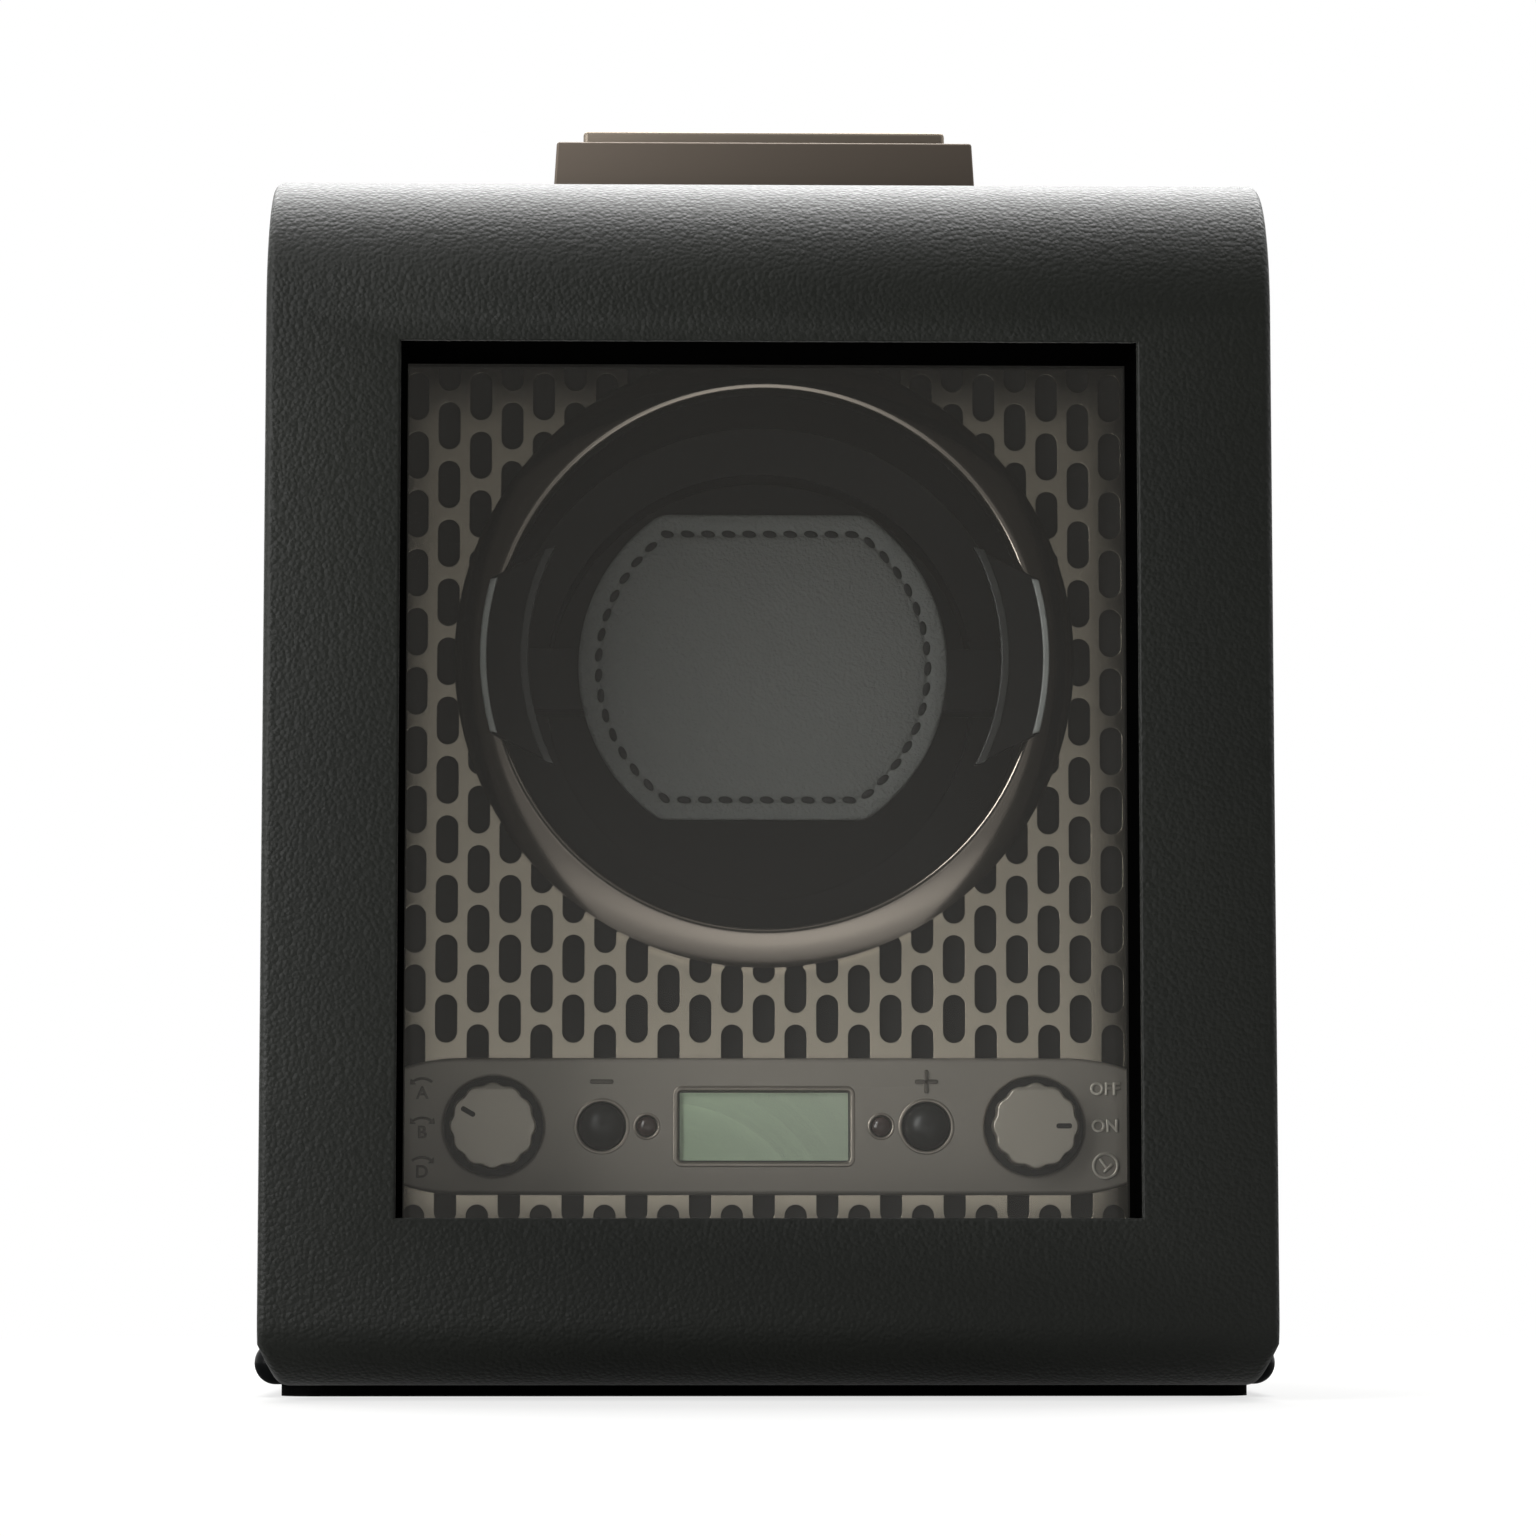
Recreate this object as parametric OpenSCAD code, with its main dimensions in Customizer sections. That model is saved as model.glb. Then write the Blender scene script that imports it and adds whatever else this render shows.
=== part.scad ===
/* [Case] */
// Width of the case and of its door
case_w = 180; // [174:1:200]
// Depth from the face of the door to the rear of the plinth
case_d = 190; // [186:1:220]
// Height of the case's top above the table
case_h = 222; // [219:1:250]
// Thickness of the side, top and floor boards
board_t = 8; // [7:0.5:10]
// Thickness of the leather
leather_t = 1.2; // [0.8:0.1:1.6]
// Radius of the rounded rear top edge
rear_r = 24; // [12:1:30]
// Thickness of the back panel
back_t = 5; // [4:0.5:6]
// Width of the battens that the fascia and the back panel are screwed to
batten_w = 8; // [7:0.5:9]

/* [Base] */
// How far the plinth stands out from the sides and the rear of the case
plinth_lip = 3; // [1:0.5:5]
// Height of the plinth's top above the table
plinth_top = 10; // [8:0.5:12]
// Thickness of the felt pad below the plinth
pad_t = 2.2; // [1.5:0.1:3]
// How far the pad stays back from the plinth's edge
pad_inset = 4.5; // [3:0.5:8]

/* [Door] */
// Thickness of the door
door_t = 30; // [26:0.5:32]
// Height of the door's lower edge above the table
door_low = 2.6; // [2:0.1:5]
// Radius of the door's rounded top
door_top_r = 28; // [15:1:30]
// Radius of the door's rounded lower edge
door_low_r = 12; // [6:0.5:16]
// Width of the door's frame at each side of the window
window_side = 24.2; // [23:0.1:30]
// Height of the door's frame above the window
window_over = 33.6; // [30:0.1:50]
// Height of the window's lower edge above the table
window_z = 32.1; // [28:0.1:36]
// Thickness of the lining in the window's reveal
reveal_t = 1.5; // [1:0.1:2.5]
// Thickness of the glass
glass_t = 3; // [2:0.5:4]
// How far the glass runs behind the edge of the window
glass_over = 4; // [2:0.5:5]
// Thickness of the frame that holds the glass
retainer_t = 2; // [1.5:0.1:3]
// Radius of the hinge barrel along the door's top rear edge
barrel_r = 3.2; // [3:0.1:4]
// Diameter of the hinge pins
hinge_pin_d = 2; // [1.5:0.1:2.5]
// Distance of each hinge from the middle of the door
hinge_x = 62; // [40:1:68]

/* [Handle] */
// Width of the handle tray at its foot
tray_w = 80; // [76:0.5:90]
// How much narrower the tray is at its top
tray_taper = 1.6; // [0:0.2:4]
// Size of the tray from front to back
tray_d = 44; // [42:1:56]
// Height of the tray
tray_h = 13; // [12:0.5:18]
// Depth of the tray's front below the door's face
tray_depth = 48; // [44:1:60]
// Width of the folding handle
bail_w = 68.5; // [64:0.5:70]
// Thickness of the folding handle
bail_t = 6.5; // [5:0.1:7]
// Width of the handle's grip bar and arms
grip_w = 8; // [6:0.5:10]
// How far the folded handle stands above the tray
bail_proud = 3; // [1:0.5:5]

/* [Fascia] */
// Depth of the fascia's front below the door's face
fascia_depth = 52; // [50:0.5:58]
// Thickness of the slotted fascia plate
fascia_t = 2; // [1.5:0.1:3]
// Thickness of the dark backing sheet
backing_t = 2.5; // [1.5:0.1:4]
// Width of one slot
slot_w = 4.1; // [3:0.1:4.6]
// Length of one slot
slot_l = 9; // [7:0.1:9.8]
// Distance between columns of slots
slot_dx = 5.93; // [5.6:0.01:7]
// Distance between slots in a column
slot_dz = 11.18; // [10.4:0.01:13]

/* [Controls] */
// Height of the middle of the control panel
panel_z = 49.4; // [48:0.1:54]
// Height of the control panel
panel_h = 25.4; // [24:0.2:27]
// Thickness of the control panel
panel_t = 2.5; // [2:0.1:3]
// Distance of each knob from the middle
knob_x = 50.3; // [48:0.1:52]
// Diameter of the knobs
knob_d = 15.3; // [13:0.1:16]
// Length of the knobs
knob_l = 6.2; // [4:0.1:8]
// Diameter of the wells that the knobs stand in
well_d = 18.4; // [17.6:0.1:19]
// Distance of each button from the middle
button_x = 30.2; // [28:0.1:32]
// Diameter of the buttons
button_d = 8.8; // [7:0.1:9.4]
// How far a button can be pressed
button_travel = 1; // [0.5:0.1:1.2]
// Distance of each indicator light from the middle
light_x = 21.8; // [21:0.1:23]
// Width of the display opening
lcd_w = 31.8; // [28:0.1:34]
// Height of the display opening
lcd_h = 13; // [10:0.1:14]

/* [Drum] */
// Gap between the bezel and the board over it
drum_over = 18.3; // [16:0.1:30]
// Gap between the bezel and the control panel
drum_under = 16.6; // [14:0.1:30]
// Width of the bezel's rounded ring
bezel_w = 7.3; // [6:0.1:8]
// How far the bezel stands out from the fascia
bezel_proud = 8; // [6:0.1:9]
// Thickness of the drum cup's wall and floor
cup_t = 2; // [1.5:0.1:3]
// Length of the drum cup behind the bezel
cup_l = 57; // [54:0.5:60]
// Width of the step around the deep middle of the cup
cup_ledge = 9.3; // [7:0.1:13]
// Diameter of the drum shaft
shaft_d = 6; // [5:0.1:8]

/* [Cuff] */
// Gap between the cuff's leather patch and the bezel
patch_gap = 15.6; // [14.6:0.1:20]
// How much the patch's flat sides take off its radius
patch_cut = 5.9; // [4:0.1:9]
// Depth of the patch below the door's face
patch_depth = 60; // [58:0.1:62]
// Thickness of the patch
patch_t = 1.3; // [1:0.1:2]
// Thickness of the cuff's cushion
cushion_t = 18; // [14:0.5:20]
// Thickness of the hard core behind the cushion
core_t = 17; // [14:0.5:18]
// Length that the cuff slides out of its seat
cuff_travel = 9; // [6:0.5:9]

/* [Drive] */
// Tooth module of the two gears
tooth = 1; // [0.9:0.05:1.1]
// Teeth of the drum gear
gear_teeth = 60; // [56:1:64]
// Teeth of the motor pinion
pinion_teeth = 16; // [15:1:20]
// Width of the gear's teeth
gear_w = 8; // [6:0.5:10]
// Thickness of the two gear plates
plate_t = 3; // [2:0.5:4]
// Distance between the gear plates
plate_gap = 16; // [15:0.5:20]
// Diameter of the geared motor
motor_d = 32; // [24:1:36]
// Gap between the geared motor and the back panel
motor_room = 13.3; // [9:0.1:20]

/* [Power] */
// Diameter of a battery cell
cell_d = 26.2; // [25:0.1:27]
// Length of a battery cell
cell_l = 50; // [48:0.5:50]
// Height of the middle of the battery compartment
battery_z = 42; // [40:0.5:50]
// Thickness of the battery cover
cover_t = 3; // [2.5:0.1:4]
// Distance of the power inlet from the middle
inlet_x = 38; // [20:0.5:46]
// Height of the power inlet above the battery compartment
inlet_over = 14.1; // [12:0.1:20]

/* [Hidden] */
$fn = 72;
// Small amount by which a cut runs past the face that it opens
eps = 0.5;

// Gap between the closed door and the case
door_gap = 0.6;
// Clearance between fixed pieces that slide together, and of a shaft in its bore
fit_gap = 0.2;
run_gap = 0.05;
// Clearance between a moving piece and what it passes
move_gap = 0.4;

case_front = door_t + door_gap;
case_rear = case_d - plinth_lip;
case_low = plinth_top;
side_x = case_w / 2 - leather_t;
inner_x = side_x - board_t;
floor_z = case_low + board_t;
top_z = case_h - leather_t - board_t;
back_rear = case_rear - leather_t;
back_front = back_rear - back_t;

hinge_depth = door_t + 1;
hinge_z = case_h - barrel_r;
rebate = barrel_r + 1;
hinge_pin_l = 30;
knuckle_w = 10;

window_w = case_w - 2 * window_side;
window_top = case_h - window_over;
window_h = window_top - window_z;
retainer_w = glass_over + 4.5;
glass_depth = door_t - retainer_t - glass_t;
magnet_d = 6;
magnet_l = 3;
magnet_x = side_x - board_t / 2;
magnet_z = window_z + 6;

bail_z = case_h + tray_h + bail_proud - bail_t / 2;
bail_front = tray_depth + 3.7;
bail_pivot = tray_depth + tray_d - 7.5;
tray_floor = bail_z - bail_t / 2 - fit_gap;
tray_wall = 3.5;
bail_pin_d = 3;

backing_depth = fascia_depth + fascia_t;
batten_depth = backing_depth + backing_t;
fascia_w = 2 * (inner_x - fit_gap);
fascia_low = floor_z + fit_gap;
fascia_high = top_z - fit_gap;
// How far the backing stays behind the edge of the drum's hole
backing_back = 2.6;
screw_x = inner_x - batten_w / 2;
screw_z = [floor_z + 12, top_z - 12];

panel_front = fascia_depth - panel_t;
panel_half_w = inner_x - 1.5;
panel_shoulder_x = 56;
panel_shoulder_r = 36;
board_depth = fascia_depth + 8;
board_thick = 1.6;
switch_w = 13;
board_w = 2 * (knob_x + switch_w / 2 + 3.2);
board_h = switch_w + 5;
boss_x = 40;
boss_z = 6;

bezel_r = (top_z - drum_over - panel_z - panel_h / 2 - drum_under) / 2;
drum_z = top_z - drum_over - bezel_r;
bezel_depth = fascia_depth - bezel_proud;
bezel_back = fascia_depth - 0.5;
bezel_in = bezel_r - bezel_w;
cup_in = bezel_in + 0.7;
cup_out = cup_in + cup_t;
drum_hole_r = cup_out + 0.8;
cup_rear = bezel_back + cup_l;
cup_step = cup_rear - 14;
well_r = cup_in - cup_ledge;

plate_depth = cup_rear + 7;
bridge_depth = plate_depth + plate_t + plate_gap;
bridge_rear = bridge_depth + plate_t;
post_x = 58;
post_z = 44;
spacer_x = 39;
spacer_z = [32.5, -post_z];
bush_r = shaft_d / 2 + 1.6;
flange_r = bush_r + 2;
flange_t = 1;
gear_depth = plate_depth + plate_t + 3;
gear_far = (gear_teeth + pinion_teeth) * tooth / 2 + 0.05;
motor_z = drum_z - gear_far;
motor_l = back_front - motor_room - bridge_rear;
motor_shaft_d = 4;
shaft_run = motor_l / 2;
bridge_over = spacer_z[0] + 8;
bridge_under = gear_far + motor_d / 2 + 4.45;
pressure = 20;
thinning = 0.14;

patch_r = bezel_in - patch_gap;
patch_flat = patch_r - patch_cut;
cuff_side_r = patch_r - 1;
cuff_side_flat = patch_flat - 1;
pad_depth = patch_depth + patch_t;
core_depth = pad_depth + cushion_t;
wing_depth = bezel_depth - 2.8;
wing_t = 2.4;
wing_out = bezel_in + 2.4;
wing_in = wing_out - 9;
// Corners of a wing's outline, as shares of its outer radius
wing_corners = [[0.566, 0.4736], [1.132, 0.1887], [1.132, -0.1887], [0.566, -0.4736]];
leg_out = bezel_in - 0.4;
leg_in = leg_out - 3.6;
leg_half = 7;
arm_half = 6;
rib_half = leg_half + move_gap;

cell_gap = 0.4;
holder_wall = 2;
contact_t = 0.6;
spring_l = 6;
bay_w = 2 * cell_l + spring_l + 2 * contact_t + 0.4;
bay_h = cell_d + 1.6;
inlet_r = 5.5;
inlet_z = battery_z + bay_h / 2 + holder_wall + inlet_over;
cell_depth = back_front - bay_h - 1 + cell_d / 2 + cell_gap;
cell_z = battery_z - bay_h / 2 + cell_d / 2 + run_gap;
cover_axis = cover_t / 2;
pintle_d = 2;

// Depth below the door's face turned into a Y position
function yd(depth) = depth - case_d / 2;

// Extrude an outline drawn in Y and Z along X, from x0 over a width w
module along_x(x0, w) { translate([x0, 0, 0]) rotate([90, 0, 90]) linear_extrude(w) children(); }
// Extrude an outline drawn in X and Z backwards, from a depth over a thickness t
module along_y(depth, t) { translate([0, yd(depth + t), 0]) rotate([90, 0, 0]) linear_extrude(t) children(); }
// Round bar along Y between two depths, on the point x, z
module rod_y(r, d0, d1, x = 0, z = 0) {
    translate([x, yd(d0), z]) rotate([-90, 0, 0]) cylinder(r = r, h = d1 - d0);
}
// Round bar along X between x0 and x1, on the point depth, z
module rod_x(r, x0, x1, depth, z) {
    translate([x0, yd(depth), z]) rotate([0, 90, 0]) cylinder(r = r, h = x1 - x0);
}
// Ring about Y between two depths, on the point x, z
module ring_y(r_out, r_in, d0, d1, x = 0, z = 0) {
    difference() {
        rod_y(r_out, d0, d1, x, z);
        rod_y(r_in, d0 - eps, d1 + eps, x, z);
    }
}
// Box between two corners, with its Y side given as depths
module block(x0, x1, d0, d1, z0, z1) { translate([x0, yd(d0), z0]) cube([x1 - x0, d1 - d0, z1 - z0]); }
// Box that is centred on x = 0
module mid_block(w, d0, d1, z0, z1) { block(-w / 2, w / 2, d0, d1, z0, z1); }
// The children and their mirror image at the other side
module both_sides() {
    children();
    mirror([1, 0, 0]) children();
}
// Rectangle with round corners, centred on the origin
module rounded(w, h, r) {
    square([w - 2 * r, h], center = true);
    square([w, h - 2 * r], center = true);
    for (x = [-1, 1], y = [-1, 1]) translate([x * (w / 2 - r), y * (h / 2 - r)]) circle(r);
}
// What a round of radius r takes off a square corner that lies at the origin
module corner(r) {
    difference() {
        translate([-eps, -eps]) square(r + eps);
        translate([r, r]) circle(r);
    }
}
// Window-sized rectangle, larger by a margin all round
module window_outline(margin) {
    translate([-window_w / 2 - margin, window_z - margin]) square([window_w + 2 * margin, window_h + 2 * margin]);
}
// Disc with flat sides above and below, on the drum's axis
module flat_disc(r, half) {
    translate([0, drum_z]) intersection() {
        circle(r);
        square([2 * r, 2 * half], center = true);
    }
}

// ---- Base

module base_pad() {
    color([0.05, 0.05, 0.05])
    translate([0, (yd(case_front) + yd(case_d)) / 2, 0])
    linear_extrude(pad_t)
    rounded(case_w + 2 * plinth_lip - 2 * pad_inset, case_d - case_front - 2 * pad_inset, 6);
}

module base_plinth() {
    r = (plinth_top - pad_t) / 2;
    half_w = case_w / 2 + plinth_lip;
    front = yd(case_front + 0.2);
    rear = yd(case_d);
    color([0.08, 0.08, 0.08]) {
        translate([-half_w + r, front + r, pad_t]) cube([2 * (half_w - r), rear - front - 2 * r, 2 * r]);
        for (x = [-1, 1]) translate([x * (half_w - r), front + r, pad_t + r])
            rotate([-90, 0, 0]) cylinder(r = r, h = rear - front - 2 * r);
        for (y = [front + r, rear - r]) translate([-half_w + r, y, pad_t + r])
            rotate([0, 90, 0]) cylinder(r = r, h = 2 * (half_w - r));
        for (x = [-1, 1], y = [front + r, rear - r])
            translate([x * (half_w - r), y, pad_t + r]) sphere(r);
    }
}

// ---- Case

// Outline of the case's side, drawn in by an inset at the top and the rear
module case_outline(inset) {
    width = case_rear - inset - case_front;
    difference() {
        translate([yd(case_front), case_low]) square([width, case_h - inset - case_low]);
        translate([yd(case_rear - inset), case_h - inset]) rotate(180) corner(rear_r - inset);
        translate([yd(case_front) - eps, hinge_z - rebate]) square([hinge_depth + rebate - case_front + eps, 2 * rebate]);
    }
}

module side_board() {
    difference() {
        along_x(inner_x, board_t) case_outline(leather_t);
        rod_y(magnet_d / 2, case_front - eps, case_front + magnet_l, magnet_x, magnet_z);
    }
}
module left_side() { color([0.35, 0.3, 0.24]) mirror([1, 0, 0]) side_board(); }
module right_side() { color([0.35, 0.3, 0.24]) side_board(); }

module top_board() {
    color([0.35, 0.3, 0.24]) difference() {
        along_x(-inner_x, 2 * inner_x) difference() {
            case_outline(leather_t);
            translate([yd(case_front) - eps, case_low - eps])
                square([case_d, case_h - rear_r - case_low + eps]);
            difference() {
                translate([yd(case_front) - eps, case_low]) square([back_rear - board_t - case_front + eps, top_z - case_low]);
                translate([yd(back_rear - board_t), top_z]) rotate(180) corner(rear_r - leather_t - board_t);
            }
        }
        tray_screw_holes(1.75);
    }
}

module floor_board() {
    color([0.35, 0.3, 0.24]) mid_block(2 * inner_x, case_front, back_rear, case_low, floor_z);
}

module back_panel() {
    bore = pintle_d / 2 + run_gap;
    half = bay_w / 2;
    color([0.1, 0.1, 0.1]) difference() {
        mid_block(2 * inner_x, back_front, back_rear, floor_z, case_h - rear_r);
        mid_block(bay_w, back_front - eps, back_rear + eps, battery_z - bay_h / 2, battery_z + bay_h / 2);
        rod_x(bore, -half - 2.5, half + 2.5, back_rear - cover_axis, battery_z - bay_h / 2 + cover_axis + fit_gap);
        rod_y(inlet_r + run_gap, back_front - eps, back_rear + eps, inlet_x, inlet_z);
        for (x = [-screw_x, screw_x], z = screw_z - [0, 16]) countersink(back_rear, x, z, -1);
    }
}

// Clearance hole and countersink in a face at a depth, opening to the front or the rear
module countersink(depth, x, z, way) {
    translate([x, yd(depth), z]) rotate([-90 * way, 0, 0]) translate([0, 0, -eps]) cylinder(r = 1.6, h = back_t + 12);
    translate([x, yd(depth), z]) rotate([-90 * way, 0, 0]) cylinder(r1 = 3, r2 = 1.6, h = 1.4);
}
// Countersunk screw that fills such a hole, with a cross slot
module flat_screw(depth, x, z, way, l) {
    translate([x, yd(depth), z]) rotate([-90 * way, 0, 0]) difference() {
        union() {
            cylinder(r1 = 2.95, r2 = 1.5, h = 1.4);
            cylinder(r = 1.5, h = l);
        }
        for (a = [0, 90]) rotate(a) translate([-1.5, -0.25, -eps]) cube([3, 0.5, eps + 0.7]);
    }
}

module battens() {
    color([0.5, 0.4, 0.28]) both_sides() difference() {
        union() {
            block(inner_x - batten_w, inner_x, batten_depth, batten_depth + batten_w, floor_z, top_z);
            block(inner_x - batten_w, inner_x, back_front - batten_w, back_front, floor_z, case_h - rear_r - 2);
        }
        for (z = screw_z) rod_y(1.5, batten_depth - eps, batten_depth + 6, screw_x, z);
        for (z = screw_z - [0, 16]) rod_y(1.5, back_front - 6, back_front + eps, screw_x, z);
    }
}

module wood_screws() {
    color([0.3, 0.3, 0.3]) {
        for (x = [-screw_x, screw_x], z = screw_z - [0, 16]) flat_screw(back_rear, x, z, -1, back_t + 6);
        for (x = [-screw_x, screw_x], z = screw_z) fascia_screw(x, z);
        for (p = tray_points) tray_screw(p);
    }
}
module fascia_screw(x, z) {
    difference() {
        union() {
            rod_y(2.6, fascia_depth - 1.2, fascia_depth, x, z);
            rod_y(1.5, fascia_depth - 1.2, batten_depth + 6, x, z);
        }
        block(x - 1.5, x + 1.5, fascia_depth - 2, fascia_depth - 0.7, z - 0.25, z + 0.25);
        block(x - 0.25, x + 0.25, fascia_depth - 2, fascia_depth - 0.7, z - 1.5, z + 1.5);
    }
}
module tray_screw(p) {
    translate([p[0], p[1], top_z - 2]) difference() {
        union() {
            cylinder(r = 3.5, h = 2);
            cylinder(r = 1.5, h = board_t + leather_t + 5);
        }
        for (a = [0, 90]) rotate(a) translate([-2, -0.4, -eps]) cube([4, 0.8, 1 + eps]);
    }
}

module case_wrap() {
    color([0.09, 0.09, 0.085]) difference() {
        along_x(-case_w / 2, case_w) case_outline(0);
        along_x(-side_x, 2 * side_x) {
            case_outline(leather_t);
            translate([yd(case_front) - eps, case_low - eps])
                square([back_rear - case_front + eps, hinge_z - rebate - case_low + eps - rear_r]);
        }
        mid_block(2 * inner_x, back_rear - eps, case_rear + eps, case_low - eps, case_h - rear_r);
        tray_screw_holes(1.75);
    }
}

module chamber_lining() {
    t = 1;
    color([0.03, 0.03, 0.03]) along_y(case_front + 0.2, fascia_depth - case_front - 0.2) difference() {
        translate([-inner_x, floor_z]) square([2 * inner_x, top_z - floor_z]);
        translate([-inner_x + t, floor_z + t]) square([2 * (inner_x - t), top_z - floor_z - 2 * t]);
    }
}

// ---- Handle

// Places of the screws that hold the tray, as X and Y
tray_points = [for (x = [-30, 30], d = [bail_front + 12, bail_pivot - 6]) [x, yd(d)]];
module tray_screw_holes(r) {
    for (p = tray_points) translate([p[0], p[1], top_z - eps])
        cylinder(r = r, h = board_t + leather_t + 3 + eps);
}

module handle_tray() {
    rim = case_h + tray_h;
    cavity_w = bail_w + 2 * 0.35;
    color([0.33, 0.3, 0.27]) difference() {
        along_y(tray_depth, tray_d) polygon([
            [-tray_w / 2, case_h], [tray_w / 2, case_h],
            [tray_w / 2 - tray_taper / 2, rim], [-tray_w / 2 + tray_taper / 2, rim]]);
        mid_block(cavity_w, bail_front - 0.3, tray_depth + tray_d - tray_wall, tray_floor, rim + eps);
        mid_block(bail_w - 2 * grip_w - 3, bail_front + 2, bail_pivot - 1, case_h + 4, rim);
        rod_x(bail_pin_d / 2, -tray_w / 2 + 1.6, tray_w / 2 - 1.6, bail_pivot, bail_z);
        tray_screw_holes(1.5);
    }
}

module handle_bail() {
    r = bail_t / 2;
    color([0.36, 0.33, 0.3]) difference() {
        union() {
            for (d = [bail_front + 2, bail_front + grip_w - 2])
                for (z = [-1, 1]) rod_x(2, -bail_w / 2, bail_w / 2, d, bail_z + z * (r - 2));
            mid_block(bail_w, bail_front + 2, bail_front + grip_w - 2, bail_z - r, bail_z + r);
            mid_block(bail_w, bail_front, bail_front + grip_w, bail_z - r + 2, bail_z + r - 2);
            both_sides() {
                block(bail_w / 2 - grip_w, bail_w / 2, bail_front + 2, bail_pivot, bail_z - r, bail_z + r);
                rod_x(r, bail_w / 2 - grip_w, bail_w / 2, bail_pivot, bail_z);
            }
        }
        rod_x(bail_pin_d / 2 + run_gap, -bail_w, bail_w, bail_pivot, bail_z);
    }
}

module handle_pins() {
    color([0.6, 0.6, 0.6]) both_sides()
        rod_x(bail_pin_d / 2, bail_w / 2 - grip_w + 0.5, tray_w / 2 - 1.6, bail_pivot, bail_z);
}

// ---- Door

// Side outline of the door, drawn in by an inset at its front, top and lower edge
module door_outline(inset, rear) {
    difference() {
        translate([yd(inset), door_low + inset]) square([rear - inset, case_h - door_low - 2 * inset]);
        translate([yd(inset), case_h - inset]) mirror([0, 1]) corner(door_top_r - inset);
        translate([yd(inset), door_low + inset]) corner(door_low_r - inset);
    }
}
// Door without its window, drawn in by an inset all round
module door_block(inset, rear) {
    half = case_w / 2 - inset;
    cut_z = plinth_top + inset / 2;
    difference() {
        along_x(-half, 2 * half) door_outline(inset, rear);
        both_sides() along_y(-eps, door_t + 2) polygon([
            [half + eps, cut_z + 1.2], [half, cut_z], [half - 3.2, door_low], [half - 3.6, door_low - 1], [half + eps, door_low - 1]]);
    }
}
module hinge_notches(r) {
    half = knuckle_w / 2 + 0.3;
    both_sides() rod_x(r, hinge_x - half, hinge_x + half, hinge_depth, hinge_z);
}

module door_core() {
    color([0.3, 0.26, 0.2]) difference() {
        union() {
            door_block(leather_t, door_t);
            rod_x(barrel_r, -side_x, side_x, hinge_depth, hinge_z);
        }
        along_y(-eps, door_t + 1) window_outline(reveal_t);
        along_y(glass_depth, door_t) window_outline(glass_over);
        along_y(glass_depth + glass_t, door_t) window_outline(retainer_w);
        hinge_notches(barrel_r + 0.3);
        both_sides() {
            rod_x(hinge_pin_d / 2, hinge_x - hinge_pin_l / 2, side_x + eps, hinge_depth, hinge_z);
            rod_y(magnet_d / 2, door_t - magnet_l, door_t + eps, magnet_x, magnet_z);
        }
        for (p = retainer_points) rod_y(0.9, door_t - 8, door_t, p[0], p[1]);
    }
}

module door_leather() {
    color([0.1, 0.1, 0.095]) difference() {
        door_block(0, door_t);
        door_block(leather_t, door_t + 1);
        along_y(-eps, door_t) window_outline(0);
        rod_x(barrel_r, -side_x, side_x, hinge_depth, hinge_z);
        hinge_notches(barrel_r + 0.3);
    }
}

module window_reveal() {
    color([0.02, 0.02, 0.02]) along_y(leather_t, glass_depth - leather_t) difference() {
        window_outline(reveal_t);
        window_outline(0);
    }
}

module door_glass() { color([0.8, 0.85, 0.85, 0.25]) along_y(glass_depth, glass_t) window_outline(glass_over - 0.05); }

retainer_points = [for (x = [-1, 1], k = [0.12, 0.5, 0.88])
    [x * (window_w / 2 + glass_over + 2.2), window_z + k * window_h]];

module glass_retainer() {
    color([0.04, 0.04, 0.04]) difference() {
        along_y(glass_depth + glass_t, retainer_t) difference() {
            window_outline(retainer_w - 0.05);
            window_outline(0);
        }
        for (p = retainer_points) rod_y(1, 0, door_t + eps, p[0], p[1]);
    }
}

module retainer_screws() {
    color([0.5, 0.5, 0.5]) for (p = retainer_points) difference() {
        rod_y(0.9, door_t - 8, door_t, p[0], p[1]);
        block(p[0] - 0.7, p[0] + 0.7, door_t - 0.4, door_t + eps, p[1] - 0.15, p[1] + 0.15);
    }
}

module door_magnets() { color([0.75, 0.75, 0.75]) both_sides() rod_y(magnet_d / 2, door_t - magnet_l, door_t, magnet_x, magnet_z); }
module case_magnets() {
    color([0.75, 0.75, 0.75]) both_sides() rod_y(magnet_d / 2, case_front, case_front + magnet_l, magnet_x, magnet_z);
}

module hinge_pins() {
    color([0.7, 0.7, 0.7]) both_sides()
        rod_x(hinge_pin_d / 2, hinge_x - hinge_pin_l / 2, min(hinge_x + hinge_pin_l / 2, side_x), hinge_depth, hinge_z);
}

module hinge_brackets() {
    w = knuckle_w / 2;
    foot_z = hinge_z - rebate;
    color([0.6, 0.6, 0.6]) both_sides() difference() {
        union() {
            rod_x(2.5, hinge_x - w, hinge_x + w, hinge_depth, hinge_z);
            block(hinge_x - w, hinge_x + w, hinge_depth, hinge_depth + 2, foot_z, hinge_z);
            block(hinge_x - w, hinge_x + w, hinge_depth, hinge_depth + rebate, foot_z, foot_z + 1.2);
        }
        rod_x(hinge_pin_d / 2 + run_gap, hinge_x - w - eps, hinge_x + w + eps, hinge_depth, hinge_z);
    }
}

// ---- Fascia

// Upright slot with round ends
module slot_shape() {
    square([slot_w, slot_l - slot_w], center = true);
    for (s = [-1, 1]) translate([0, s * (slot_l - slot_w) / 2]) circle(slot_w / 2);
}

// Opening behind the control panel that its parts pass through
module panel_opening() { translate([-board_w / 2 - 1, panel_z - board_h / 2 - 1]) square([board_w + 2, board_h + 2]); }

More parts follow.
